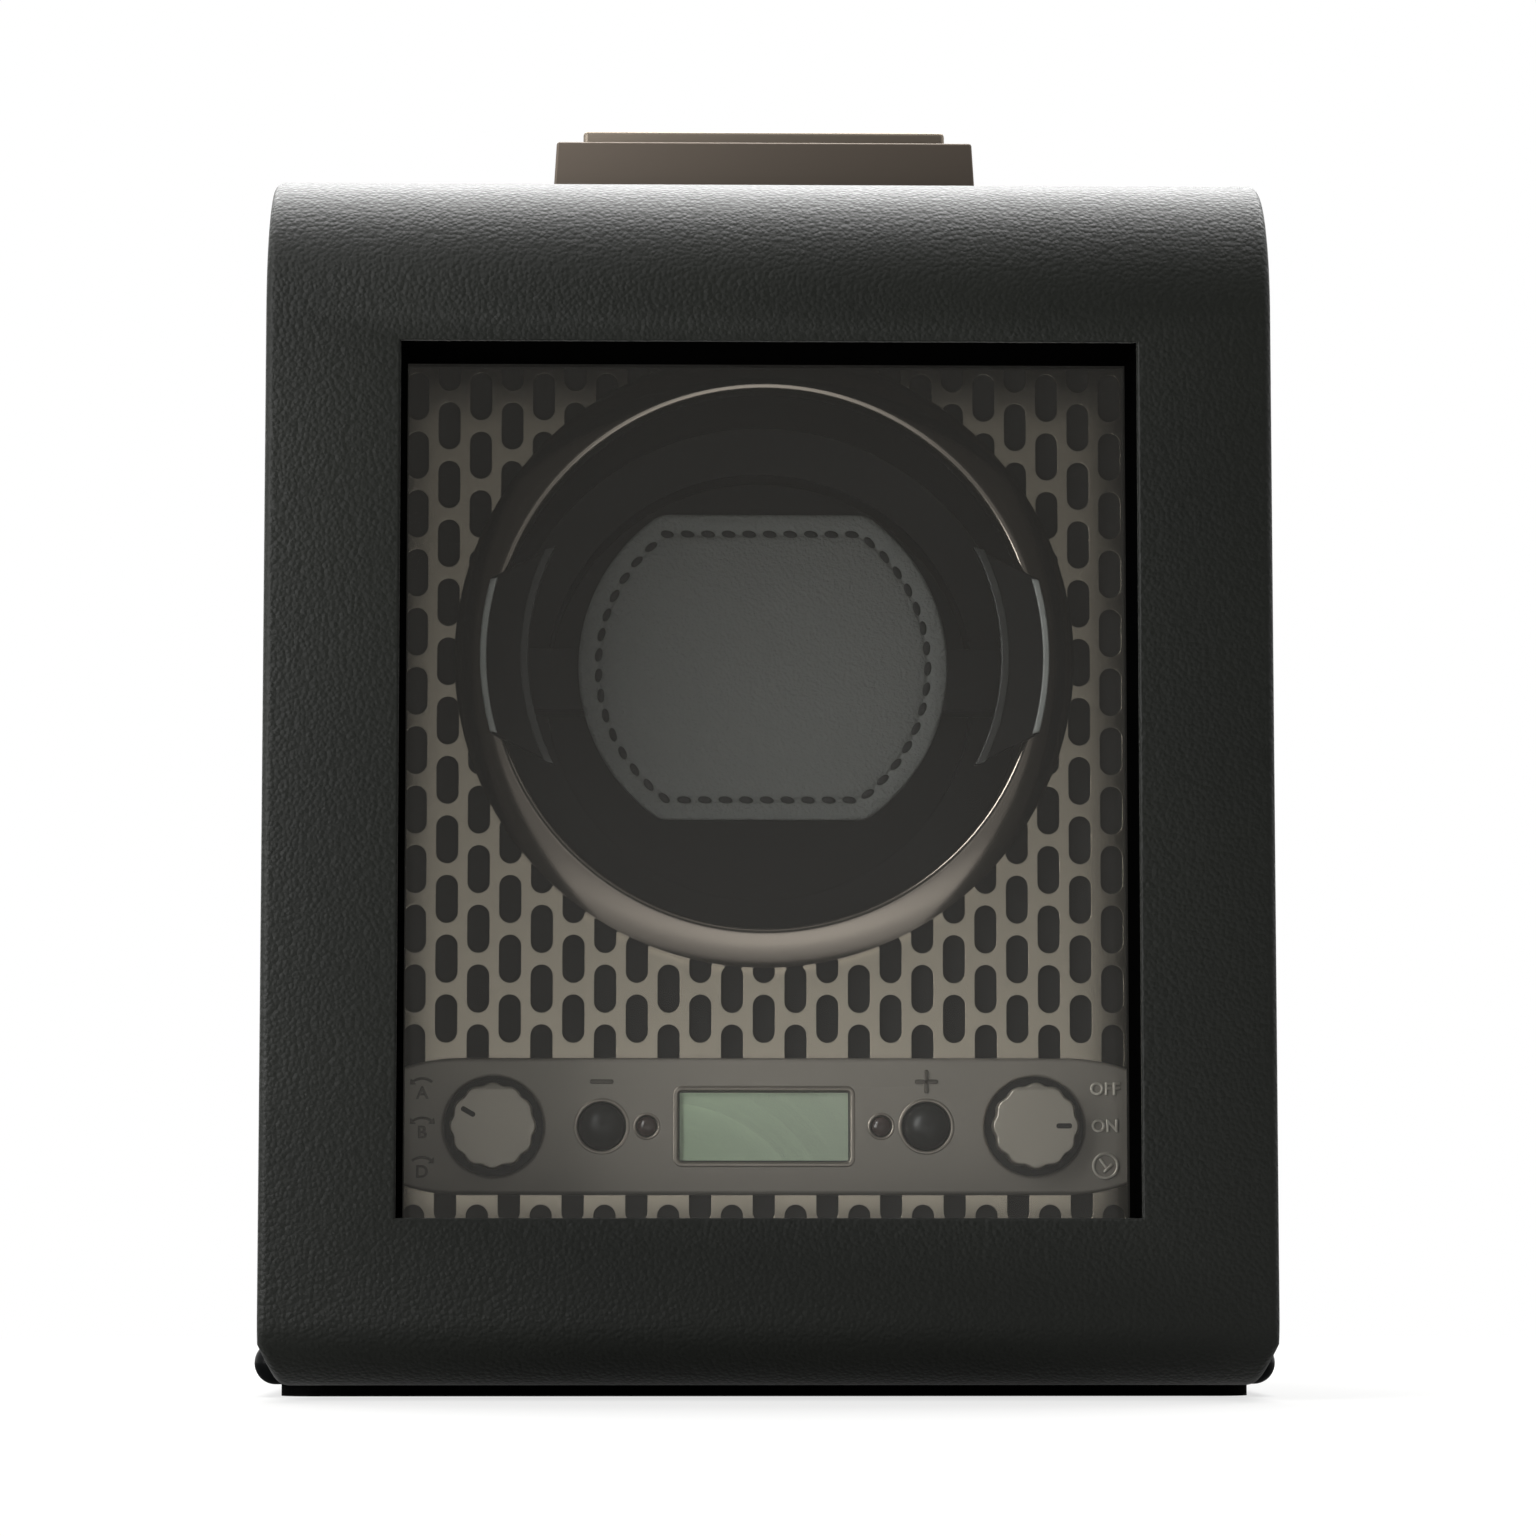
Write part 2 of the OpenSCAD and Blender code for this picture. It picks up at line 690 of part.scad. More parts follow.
slot_first = panel_z + 20.14;
slot_columns = floor((window_w / 2 + 6) / slot_dx);
slot_rows = ceil(window_h / slot_dz);
slot_points = [for (i = [-slot_columns:slot_columns], j = [-slot_rows:slot_rows])
    let (x = i * slot_dx, z = slot_first + (j + (i % 2 == 0 ? 0 : 0.5)) * slot_dz)
    if (z > window_z - 8 && z < window_top + 8
        && norm([x, z - drum_z]) > drum_hole_r - slot_w
        && (abs(z - panel_z) > panel_h / 2 - 2)) [x, z]];

module fascia_plate() {
    color([0.42, 0.39, 0.36]) along_y(fascia_depth, fascia_t) difference() {
        translate([-fascia_w / 2, fascia_low]) square([fascia_w, fascia_high - fascia_low]);
        translate([0, drum_z]) circle(drum_hole_r);
        panel_opening();
        difference() {
            for (p = slot_points) translate(p) slot_shape();
            translate([0, drum_z]) circle(drum_hole_r + 1);
            translate([-fascia_w / 2, panel_z - board_h / 2 - 2.2]) square([fascia_w, board_h + 4.4]);
        }
        for (x = [-screw_x, screw_x], z = screw_z) translate([x, z]) circle(1.6);
    }
}

module fascia_backing() {
    color([0.06, 0.06, 0.06]) along_y(backing_depth, backing_t) difference() {
        translate([-fascia_w / 2, fascia_low]) square([fascia_w, fascia_high - fascia_low]);
        translate([0, drum_z]) circle(drum_hole_r + backing_back);
        panel_opening();
        for (x = [-screw_x, screw_x], z = screw_z) translate([x, z]) circle(1.6);
    }
}

// ---- Controls

module panel_outline() {
    half = panel_h / 2;
    run = panel_half_w - panel_shoulder_x;
    translate([0, panel_z]) difference() {
        rounded(2 * panel_half_w, panel_h, 5);
        for (x = [-1, 1], z = [-1, 1]) scale([x, z]) difference() {
            translate([panel_shoulder_x, 0]) square([run + eps, half + eps]);
            translate([panel_shoulder_x, half - panel_shoulder_r]) circle(panel_shoulder_r);
        }
    }
}

module control_panel() {
    color([0.39, 0.375, 0.35]) difference() {
        union() {
            along_y(panel_front, panel_t) panel_outline();
            for (x = [-boss_x, boss_x], z = [-boss_z, boss_z])
                rod_y(1.9, panel_front + 1, board_depth, x, panel_z + z);
        }
        mid_block(lcd_w, panel_front - eps, fascia_depth + eps, panel_z - lcd_h / 2, panel_z + lcd_h / 2);
        for (x = [-boss_x, boss_x], z = [-boss_z, boss_z]) rod_y(0.9, board_depth - 6, board_depth + eps, x, panel_z + z);
        both_sides() {
            rod_y(well_d / 2, panel_front - eps, panel_front + panel_t - 1, knob_x, panel_z);
            rod_y(3.6, panel_front, fascia_depth + eps, knob_x, panel_z);
            rod_y(button_d / 2 + 0.15, panel_front - eps, fascia_depth + eps, button_x, panel_z);
            rod_y(1.85, panel_front - eps, fascia_depth + eps, light_x, panel_z);
        }
    }
}

module lcd_window() {
    color([0.85, 0.9, 0.85, 0.3])
    mid_block(lcd_w - fit_gap, panel_front + 0.4, panel_front + 1.6, panel_z - lcd_h / 2 + 0.1, panel_z + lcd_h / 2 - 0.1);
}
module lcd_screen() {
    color([0.56, 0.67, 0.58])
    mid_block(lcd_w - 0.4, panel_front + 1.6, fascia_depth + 0.2, panel_z - lcd_h / 2 + 0.2, panel_z + lcd_h / 2 - 0.2);
}
module lcd_module() {
    color([0.12, 0.12, 0.12]) mid_block(lcd_w + 5, fascia_depth + 0.2, board_depth, panel_z - board_h / 2 + 0.4, panel_z + board_h / 2 - 0.4);
}

module indicator_lights() {
    color([0.25, 0.22, 0.2]) both_sides() {
        intersection() {
            rod_y(1.8, panel_front - 1, fascia_depth, light_x, panel_z);
            translate([light_x, yd(panel_front + 2.4), panel_z]) sphere(2.7);
        }
        rod_y(1.2, fascia_depth - 0.5, board_depth, light_x, panel_z);
    }
}

module circuit_board() {
    color([0.1, 0.3, 0.15]) difference() {
        mid_block(board_w, board_depth, board_depth + board_thick, panel_z - board_h / 2, panel_z + board_h / 2);
        for (x = [-boss_x, boss_x], z = [-boss_z, boss_z]) rod_y(1, board_depth - eps, board_depth + board_thick + eps, x, panel_z + z);
    }
}

module board_screws() {
    rear = board_depth + board_thick;
    color([0.6, 0.6, 0.6]) for (x = [-boss_x, boss_x], z = [-boss_z, boss_z]) {
        rod_y(0.9, board_depth - 5, rear, x, panel_z + z);
        rod_y(2, rear, rear + 1.3, x, panel_z + z);
    }
}

module rotary_switches() {
    color([0.15, 0.15, 0.16]) both_sides() difference() {
        union() {
            block(knob_x - switch_w / 2, knob_x + switch_w / 2, fascia_depth, board_depth,
                panel_z - switch_w / 2, panel_z + switch_w / 2);
            rod_y(3.5, panel_front + panel_t - 1, fascia_depth + 1, knob_x, panel_z);
        }
        rod_y(2 + run_gap, panel_front, fascia_depth + 6, knob_x, panel_z);
    }
}

module push_switches() {
    face = board_depth - 2;
    color([0.2, 0.2, 0.2]) both_sides() {
        block(button_x - 3, button_x + 3, face, board_depth, panel_z - 3, panel_z + 3);
        rod_y(1.7, face - 1.6, face + 0.5, button_x, panel_z);
    }
}

// Scalloped knob with its spindle, its pointer slot turned to an angle from +X
module knob(pointer) {
    back = panel_front + panel_t - 1 - 0.3;
    front = back - knob_l;
    translate([0, 0, panel_z]) difference() {
        union() {
            difference() {
                rod_y(knob_d / 2, front, back);
                for (a = [15:30:345]) rod_y(1.7, front - eps, back - 1, 8.8 * cos(a), 8.8 * sin(a));
            }
            rod_y(2, back - 1, fascia_depth + 5);
        }
        rotate([0, -pointer, 0]) block(3.4, 6.2, front - eps, front + 0.6, -0.5, 0.5);
    }
}
module left_knob() { color([0.47, 0.44, 0.41]) translate([-knob_x, 0, 0]) knob(150); }
module right_knob() { color([0.47, 0.44, 0.41]) translate([knob_x, 0, 0]) knob(0); }

module button() {
    dome_r = button_d * 0.62;
    stem_end = board_depth - 3.6 - button_travel - 0.1;
    translate([0, 0, panel_z]) {
        intersection() {
            rod_y(button_d / 2, panel_front - 3, fascia_depth + 0.4);
            translate([0, yd(panel_front + dome_r - 2.6), 0]) union() {
                sphere(dome_r);
                rotate([-90, 0, 0]) cylinder(r = dome_r, h = 10);
            }
        }
        rod_y(button_d / 2 + 0.9, fascia_depth + 0.2, fascia_depth + 1.1);
        rod_y(1.6, fascia_depth + 1, stem_end);
    }
}
module minus_button() { color([0.13, 0.13, 0.13]) translate([-button_x, 0, 0]) button(); }
module plus_button() { color([0.13, 0.13, 0.13]) translate([button_x, 0, 0]) button(); }

// ---- Drum

// Revolve an outline drawn as radius and depth about the drum's axis
module turned() { translate([0, yd(0), drum_z]) rotate([-90, 0, 0]) rotate_extrude() children(); }

module drum_bezel() {
    half = bezel_w / 2;
    mid = bezel_r - half;
    color([0.44, 0.41, 0.38]) turned() {
        translate([mid, bezel_depth + half]) intersection() {
            circle(half);
            translate([-half, -half]) square([bezel_w, half + 0.01]);
        }
        translate([mid - half, bezel_depth + half]) square([bezel_w, bezel_back - bezel_depth - half]);
    }
}

module drum_cup() {
    hub_r = shaft_d / 2 + 6;
    color([0.04, 0.04, 0.04]) difference() {
        union() {
            turned() polygon([
                [cup_in, bezel_back], [cup_out, bezel_back], [cup_out, cup_step + cup_t],
                [well_r + cup_t, cup_step + cup_t], [well_r + cup_t, cup_rear], [0, cup_rear],
                [0, cup_rear - cup_t], [well_r, cup_rear - cup_t], [well_r, cup_step], [cup_in, cup_step]]);
            rod_y(hub_r, cup_rear - cup_t - 4, cup_rear + 5.7, 0, drum_z);
            intersection() {
                ring_y(cup_in + 0.2, leg_in + 1, bezel_back + 2, cup_step + 0.2, 0, drum_z);
                for (z = [rib_half, -rib_half - 2])
                    mid_block(2 * cup_out, bezel_back, cup_step + 1, drum_z + z, drum_z + z + 2);
            }
        }
        rod_y(shaft_d / 2, cup_rear - cup_t - 2, cup_rear + 10, 0, drum_z);
    }
}

module drum_shaft() {
    color([0.7, 0.7, 0.72]) difference() {
        rod_y(shaft_d / 2, cup_rear - cup_t - 2, bridge_rear + 8, 0, drum_z);
        ring_y(shaft_d, shaft_d / 2 - 0.5, bridge_rear + 4.3, bridge_rear + 5.3, 0, drum_z);
    }
}

module shaft_clip() {
    color([0.6, 0.6, 0.62]) difference() {
        ring_y(shaft_d / 2 + 2.2, shaft_d / 2 - 0.45, bridge_rear + 4.4, bridge_rear + 5.2, 0, drum_z);
        mid_block(2.6, bridge_rear + 4, bridge_rear + 6, drum_z, drum_z + 8);
    }
}

function involute(a) = tan(a) * 180 / PI - a;
function flank(r, base, n) = 90 / n - thinning / (n * tooth / 2) * 90 / PI + involute(pressure) - involute(acos(min(1, base / r)));
// Involute gear outline: n teeth of the common module, with the first tooth at an angle
module gear_outline(n, first) {
    pitch = n * tooth / 2;
    base = pitch * cos(pressure);
    tip = pitch + tooth;
    root = pitch - 1.25 * tooth;
    low = max(base, root);
    radii = [for (k = [0:4]) low + (tip - low) * k / 4];
    polygon([for (t = [0:n - 1]) let (mid = first + 360 * t / n) each concat(
        [root * [cos(mid - flank(low, base, n)), sin(mid - flank(low, base, n))]],
        [for (r = radii) r * [cos(mid - flank(r, base, n)), sin(mid - flank(r, base, n))]],
        [for (k = [4:-1:0]) let (r = radii[k]) r * [cos(mid + flank(r, base, n)), sin(mid + flank(r, base, n))]],
        [root * [cos(mid + flank(low, base, n)), sin(mid + flank(low, base, n))]])]);
}

module drum_gear() {
    hub_r = shaft_d / 2 + 4;
    web = gear_teeth * tooth / 2 - 5;
    color([0.85, 0.83, 0.76]) difference() {
        union() {
            along_y(gear_depth, gear_w) translate([0, drum_z]) gear_outline(gear_teeth, -90);
            rod_y(hub_r, plate_depth + plate_t + 2.2, bridge_depth - 1.4, 0, drum_z);
        }
        for (d = [gear_depth - eps, gear_depth + gear_w - 2.5]) ring_y(web, hub_r + 2, d, d + 2.5 + eps, 0, drum_z);
        for (a = [30:60:330]) rod_y(5, gear_depth - eps, gear_depth + gear_w + eps, 17 * cos(a), drum_z + 17 * sin(a));
        rod_y(shaft_d / 2, plate_depth, bridge_rear, 0, drum_z);
    }
}

module drum_bushes() {
    bore = shaft_d / 2 + run_gap;
    color([0.72, 0.55, 0.3]) {
        ring_y(flange_r, bore, plate_depth - flange_t, plate_depth, 0, drum_z);
        ring_y(bush_r, bore, plate_depth, plate_depth + plate_t + 2, 0, drum_z);
        ring_y(flange_r, bore, bridge_depth - flange_t, bridge_depth, 0, drum_z);
        ring_y(bush_r, bore, bridge_depth, bridge_rear + 4, 0, drum_z);
    }
}

module gear_plates() {
    color([0.62, 0.63, 0.65]) {
        along_y(plate_depth, plate_t) difference() {
            translate([0, drum_z]) rounded(2 * post_x + 16, 2 * post_z + 16, 8);
            translate([0, drum_z]) circle(bush_r);
            for (x = [-1, 1], z = [-1, 1]) translate([x * post_x, drum_z + z * post_z]) circle(1.6);
            for (x = [-1, 1], z = spacer_z) translate([x * spacer_x, drum_z + z]) circle(1.6);
        }
        along_y(bridge_depth, plate_t) difference() {
            translate([0, drum_z + (bridge_over - bridge_under) / 2]) rounded(2 * spacer_x + 12, bridge_over + bridge_under, 6);
            translate([0, drum_z]) circle(bush_r);
            translate([0, motor_z]) circle(6);
            for (x = [-1, 1], z = spacer_z) translate([x * spacer_x, drum_z + z]) circle(1.6);
        }
    }
}

module plate_posts() {
    color([0.55, 0.55, 0.57]) {
        for (x = [-1, 1], z = [-1, 1]) ring_y(4, 1.5, batten_depth, plate_depth, x * post_x, drum_z + z * post_z);
        for (x = [-1, 1], z = spacer_z)
            ring_y(3.5, 1.5, plate_depth + plate_t, bridge_depth, x * spacer_x, drum_z + z);
    }
}

module plate_screws() {
    color([0.4, 0.4, 0.42]) {
        for (x = [-1, 1], z = [-1, 1]) pan_screw(plate_depth + plate_t, x * post_x, drum_z + z * post_z, 16);
        for (x = [-1, 1], z = spacer_z) pan_screw(bridge_rear, x * spacer_x, drum_z + z, 10);
    }
}
// Pan head screw seated on a rear face at a depth
module pan_screw(depth, x, z, l) {
    difference() {
        union() {
            rod_y(2.8, depth, depth + 2, x, z);
            rod_y(1.5, depth - l, depth, x, z);
        }
        block(x - 1.5, x + 1.5, depth + 1.2, depth + 3, z - 0.3, z + 0.3);
        block(x - 0.3, x + 0.3, depth + 1.2, depth + 3, z - 1.5, z + 1.5);
    }
}

module gear_motor() {
    bore = motor_shaft_d / 2 + run_gap;
    color([0.68, 0.68, 0.7]) difference() {
        union() {
            rod_y(motor_d / 2, bridge_rear, bridge_rear + motor_l, 0, motor_z);
            rod_y(6, bridge_depth, bridge_rear, 0, motor_z);
            rod_y(5, bridge_rear + motor_l, bridge_rear + motor_l + 2, 0, motor_z);
            for (x = [-7, 7]) block(x - 1.2, x + 1.2, bridge_rear + motor_l, bridge_rear + motor_l + 5, motor_z - 0.3, motor_z + 0.3);
        }
        rod_y(bore, bridge_depth - eps, bridge_rear + shaft_run, 0, motor_z);
    }
}

module motor_pinion() {
    color([0.8, 0.65, 0.35]) {
        along_y(gear_depth - 0.5, gear_w + 1) translate([0, motor_z]) gear_outline(pinion_teeth, 90 + 180 / pinion_teeth);
        rod_y(motor_shaft_d / 2, gear_depth, bridge_rear + shaft_run - 1, 0, motor_z);
    }
}

// ---- Cuff

module cuff_core() {
    color([0.05, 0.05, 0.05]) {
        along_y(core_depth, core_t) flat_disc(cuff_side_r - 3, cuff_side_flat - 3);
        intersection() {
            mid_block(2 * leg_in, core_depth + 2, core_depth + 14, drum_z - arm_half, drum_z + arm_half);
            rod_y(leg_in, core_depth, core_depth + core_t, 0, drum_z);
        }
    }
}

module cuff_wings() {
    color([0.07, 0.07, 0.07]) both_sides() {
        along_y(wing_depth, wing_t) translate([0, drum_z]) intersection() {
            difference() {
                circle(wing_out);
                circle(wing_in);
            }
            polygon([for (c = wing_corners) c * wing_out]);
        }
        along_y(wing_depth + wing_t, core_depth + 14 - wing_depth - wing_t) translate([0, drum_z]) intersection() {
            difference() {
                circle(leg_out);
                circle(leg_in);
            }
            translate([leg_in - 10, -leg_half]) square([leg_out - leg_in + 20, 2 * leg_half]);
        }
    }
}

module cuff_pad() { color([0.12, 0.12, 0.115]) along_y(pad_depth, cushion_t) flat_disc(cuff_side_r, cuff_side_flat); }
module cuff_patch() { color([0.25, 0.255, 0.25]) along_y(patch_depth, patch_t) flat_disc(patch_r, patch_flat); }

// ---- Power

module battery_holder() {
    depth = bay_h + 1;
    color([0.08, 0.08, 0.08]) difference() {
        mid_block(bay_w + 2 * holder_wall, back_front - depth - holder_wall, back_front,
            battery_z - bay_h / 2 - holder_wall, battery_z + bay_h / 2 + holder_wall);
        mid_block(bay_w, back_front - depth, back_front + eps, battery_z - bay_h / 2, battery_z + bay_h / 2);
    }
}

module battery_cells() {
    r = cell_d / 2;
    last = bay_w / 2 - contact_t;
    color([0.75, 0.6, 0.35]) for (x = [last - 2 * cell_l - 0.1, last - cell_l]) {
        rod_x(r, x, x + cell_l - 1.5, cell_depth, cell_z);
        rod_x(2.8, x + cell_l - 1.5, x + cell_l, cell_depth, cell_z);
    }
}

module battery_contacts() {
    side = 9;
    turns = 6;
    wire = 0.6;
    color([0.7, 0.7, 0.7]) {
        for (x = [-bay_w / 2, bay_w / 2 - contact_t])
            block(x, x + contact_t, cell_depth - side, cell_depth + side, cell_z - side, cell_z + side);
        for (k = [0:turns - 1]) translate([-bay_w / 2 + contact_t + 0.4 + k * 1.05, yd(cell_depth), cell_z])
            rotate([0, 90, 0]) rotate_extrude() translate([7.5 - 0.45 * k, 0]) circle(wire);
    }
}

module battery_cover() {
    axis_z = battery_z - bay_h / 2 + cover_axis + fit_gap;
    half = bay_w / 2 - fit_gap;
    top = battery_z + bay_h / 2 - fit_gap;
    color([0.1, 0.1, 0.1]) difference() {
        union() {
            block(-half, half, back_rear - cover_t, back_rear, axis_z, top);
            rod_x(cover_axis, -half, half, back_rear - cover_axis, axis_z);
            rod_x(pintle_d / 2, -half - 2, half + 2, back_rear - cover_axis, axis_z);
        }
        translate([0, yd(back_rear) + 6, top - 4]) rotate([0, 90, 0]) cylinder(r = 7, h = 16, center = true);
    }
}

module power_inlet() {
    color([0.06, 0.06, 0.06]) difference() {
        union() {
            rod_y(inlet_r, back_front - 9, back_rear, inlet_x, inlet_z);
            rod_y(inlet_r + 1.1, back_rear, back_rear + 1.2, inlet_x, inlet_z);
        }
        rod_y(2.75, back_front - 6, back_rear + 2, inlet_x, inlet_z);
    }
    color([0.7, 0.7, 0.7]) rod_y(1, back_front - 7, back_rear - 1, inlet_x, inlet_z);
}

base_pad();
base_plinth();
left_side();
right_side();
top_board();
floor_board();
back_panel();
battens();
wood_screws();
case_wrap();
chamber_lining();
handle_tray();
handle_bail();
handle_pins();
door_core();
door_leather();
window_reveal();
door_glass();
glass_retainer();
retainer_screws();
door_magnets();
case_magnets();
hinge_pins();
hinge_brackets();
fascia_plate();
fascia_backing();
control_panel();
lcd_window();
lcd_screen();
lcd_module();
indicator_lights();
circuit_board();
board_screws();
rotary_switches();
push_switches();
left_knob();
right_knob();
minus_button();
plus_button();
drum_bezel();
drum_cup();
drum_shaft();
drum_gear();
shaft_clip();
drum_bushes();
gear_plates();
plate_posts();
plate_screws();
gear_motor();
motor_pinion();
cuff_core();
cuff_wings();
cuff_pad();
cuff_patch();
battery_holder();
battery_cells();
battery_contacts();
battery_cover();
power_inlet();
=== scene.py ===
# A watch winder box: a leather case with a glazed door that lifts, a slotted metal fascia, a turning drum
# with a cuff for one watch, a panel of controls and a handle that folds into a tray on the top.
import math

import bpy
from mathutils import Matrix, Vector


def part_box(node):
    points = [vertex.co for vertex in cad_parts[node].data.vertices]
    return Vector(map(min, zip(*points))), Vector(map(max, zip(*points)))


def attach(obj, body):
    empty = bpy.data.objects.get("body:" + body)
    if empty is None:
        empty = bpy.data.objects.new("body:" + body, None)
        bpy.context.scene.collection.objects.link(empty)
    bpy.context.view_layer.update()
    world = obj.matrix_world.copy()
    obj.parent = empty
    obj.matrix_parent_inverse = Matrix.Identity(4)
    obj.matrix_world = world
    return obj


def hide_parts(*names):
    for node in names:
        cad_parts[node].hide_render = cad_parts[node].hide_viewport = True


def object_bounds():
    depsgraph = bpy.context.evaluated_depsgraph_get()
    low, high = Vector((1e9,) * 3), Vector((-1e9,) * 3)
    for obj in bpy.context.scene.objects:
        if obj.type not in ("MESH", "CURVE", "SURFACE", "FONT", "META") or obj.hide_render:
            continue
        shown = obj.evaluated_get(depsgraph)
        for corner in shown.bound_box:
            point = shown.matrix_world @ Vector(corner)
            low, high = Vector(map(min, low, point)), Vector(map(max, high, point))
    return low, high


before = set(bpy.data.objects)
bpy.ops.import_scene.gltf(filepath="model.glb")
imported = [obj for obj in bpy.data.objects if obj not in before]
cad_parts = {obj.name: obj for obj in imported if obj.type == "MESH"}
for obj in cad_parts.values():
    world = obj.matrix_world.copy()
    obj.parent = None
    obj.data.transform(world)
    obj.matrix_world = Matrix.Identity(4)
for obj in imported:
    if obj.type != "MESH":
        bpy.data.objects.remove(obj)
cad_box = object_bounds()
face_y = cad_box[0][1]
bpy.context.scene.view_settings.view_transform = "Standard"

# ---- Camera: a long lens that stands low in front of the door and looks slightly up at it, a little from
# the left. Its distance and height are real sizes, measured from the face of the door and the table.
MM = 0.001
camera_away = 900 * MM
camera_left = 18 * MM
camera_high = 26.4 * MM
camera_lens = 119.45
camera_pitch = math.radians(5.41)
camera_yaw = math.radians(1.13)
bpy.ops.object.camera_add()
camera = bpy.context.object
camera.name = "camera"
camera.data.sensor_width = 36
camera.data.lens = camera_lens
camera.data.clip_start = 50 * MM
camera.location = (-camera_left, face_y - camera_away, camera_high)
camera.rotation_euler = (math.radians(90) + camera_pitch, 0, -camera_yaw)
bpy.context.scene.camera = camera


# ---- Studio: a pale floor and a white surround, with one wide soft lamp above, one at the upper left and
# a weak one near at the left. In gloss, the front of the object shows a bright patch that lies low in
# front of the door, as of a lit table in a dim room.
def linear(hexcode):
    """A colour written as sRGB hex, as the linear values that a shader takes."""
    parts = [int(hexcode[i:i + 2], 16) / 255 for i in (0, 2, 4)]
    return [*(p / 12.92 if p <= 0.04045 else ((p + 0.055) / 1.055) ** 2.4 for p in parts), 1]


def add(tree, kind, inputs, **settings):
    """A new node of a kind. Each input is a value, or the socket or node that feeds it."""
    made = tree.nodes.new(kind)
    for name, value in settings.items():
        setattr(made, name, value)
    for name, value in inputs.items():
        if isinstance(value, bpy.types.Node):
            value = value.outputs[0]
        if isinstance(value, bpy.types.NodeSocket):
            tree.links.new(value, made.inputs[name])
        else:
            made.inputs[name].default_value = value
    return made


# The surround shows as white, lights the object plainly, and is mirrored as the dim room and its lit patch.
plain_light = 0.25
lit_middle = 0.03
dim_above = 0.03
dim_beside = 0.2
dim_close = 0.1
white = (1, 1, 1, 1)
world = bpy.data.worlds.new("surround")
bpy.context.scene.world = world
world.use_nodes = True
tree = world.node_tree
tree.nodes.clear()
path = add(tree, "ShaderNodeLightPath", {})
seen = add(tree, "ShaderNodeMath",
           {0: path.outputs["Is Camera Ray"], 1: path.outputs["Is Transmission Ray"]}, operation="MAXIMUM")
way = add(tree, "ShaderNodeSeparateXYZ", {0: add(tree, "ShaderNodeTexCoord", {}).outputs["Generated"]})
off = add(tree, "ShaderNodeMath", {0: way.outputs["X"], 1: lit_middle}, operation="SUBTRACT")
aside = add(tree, "ShaderNodeMath", {0: off}, operation="ABSOLUTE")
above = add(tree, "ShaderNodeMapRange", {"Value": way.outputs["Z"], "From Min": -0.03, "From Max": 0.14,
                                         "To Min": 1, "To Max": dim_above})
beside = add(tree, "ShaderNodeMapRange", {"Value": aside, "From Min": 0.02, "From Max": 0.16,
                                          "To Min": 1, "To Max": dim_beside})
room = add(tree, "ShaderNodeMath", {0: above, 1: beside}, operation="MULTIPLY")
ahead = add(tree, "ShaderNodeMapRange", {"Value": way.outputs["Y"], "From Min": -0.25, "From Max": -0.85,
                                         "To Min": 0, "To Max": 1})
mirrored = add(tree, "ShaderNodeMix", {"Factor": ahead, "A": 1, "B": room})
unseen = add(tree, "ShaderNodeMix",
             {"Factor": path.outputs["Is Glossy Ray"], "A": plain_light, "B": mirrored})
strength = add(tree, "ShaderNodeMix", {"Factor": seen, "A": unseen, "B": 1})
sky = add(tree, "ShaderNodeBackground", {"Color": white, "Strength": strength})
add(tree, "ShaderNodeOutputWorld", {0: sky})

# Matt paper takes the object's shadow, turns white farther out, and is mirrored as the lit patch too. In
# gloss it is painted dim close to the object, as a painted shadow.
bpy.ops.mesh.primitive_plane_add(size=6)
floor = bpy.context.object
floor.name = "floor"
floor_paper = bpy.data.materials.new("floor_paper")
floor_paper.use_nodes = True
tree = floor_paper.node_tree
tree.nodes.clear()
path = add(tree, "ShaderNodeLightPath", {})
seen = add(tree, "ShaderNodeMath",
           {0: path.outputs["Is Camera Ray"], 1: path.outputs["Is Transmission Ray"]}, operation="MAXIMUM")
spot = add(tree, "ShaderNodeTexCoord", {}).outputs["Object"]
away = add(tree, "ShaderNodeVectorMath", {0: spot}, operation="LENGTH").outputs["Value"]
off = add(tree, "ShaderNodeMath", {0: add(tree, "ShaderNodeSeparateXYZ", {0: spot}), 1: lit_middle},
          operation="SUBTRACT")
aside = add(tree, "ShaderNodeMath", {0: off}, operation="ABSOLUTE")
fade = add(tree, "ShaderNodeMapRange", {"Value": away, "From Min": 0.12, "From Max": 0.6,
                                        "To Min": 0.7, "To Max": 1})
share = add(tree, "ShaderNodeMath", {0: seen, 1: fade}, operation="MULTIPLY")
paper = add(tree, "ShaderNodeBsdfDiffuse", {"Color": linear("f2f2f0")})
glow = add(tree, "ShaderNodeEmission", {"Color": white, "Strength": 1})
faded = add(tree, "ShaderNodeMixShader", {0: share, 1: paper, 2: glow})
# Painted shadow: in gloss the paper's glow is dimmed close to the object.
close = add(tree, "ShaderNodeMapRange", {"Value": away, "From Min": 0.1, "From Max": 0.25,
                                         "To Min": dim_close, "To Max": 1})
beside = add(tree, "ShaderNodeMapRange", {"Value": aside, "From Min": 0.03, "From Max": 0.22,
                                          "To Min": 1, "To Max": dim_beside})
patch = add(tree, "ShaderNodeMath", {0: close, 1: beside}, operation="MULTIPLY")
mirrored = add(tree, "ShaderNodeEmission", {"Color": white, "Strength": patch})
both = add(tree, "ShaderNodeMixShader", {0: path.outputs["Is Glossy Ray"], 1: faded, 2: mirrored})
add(tree, "ShaderNodeOutputMaterial", {0: both})
floor.data.materials.append(floor_paper)


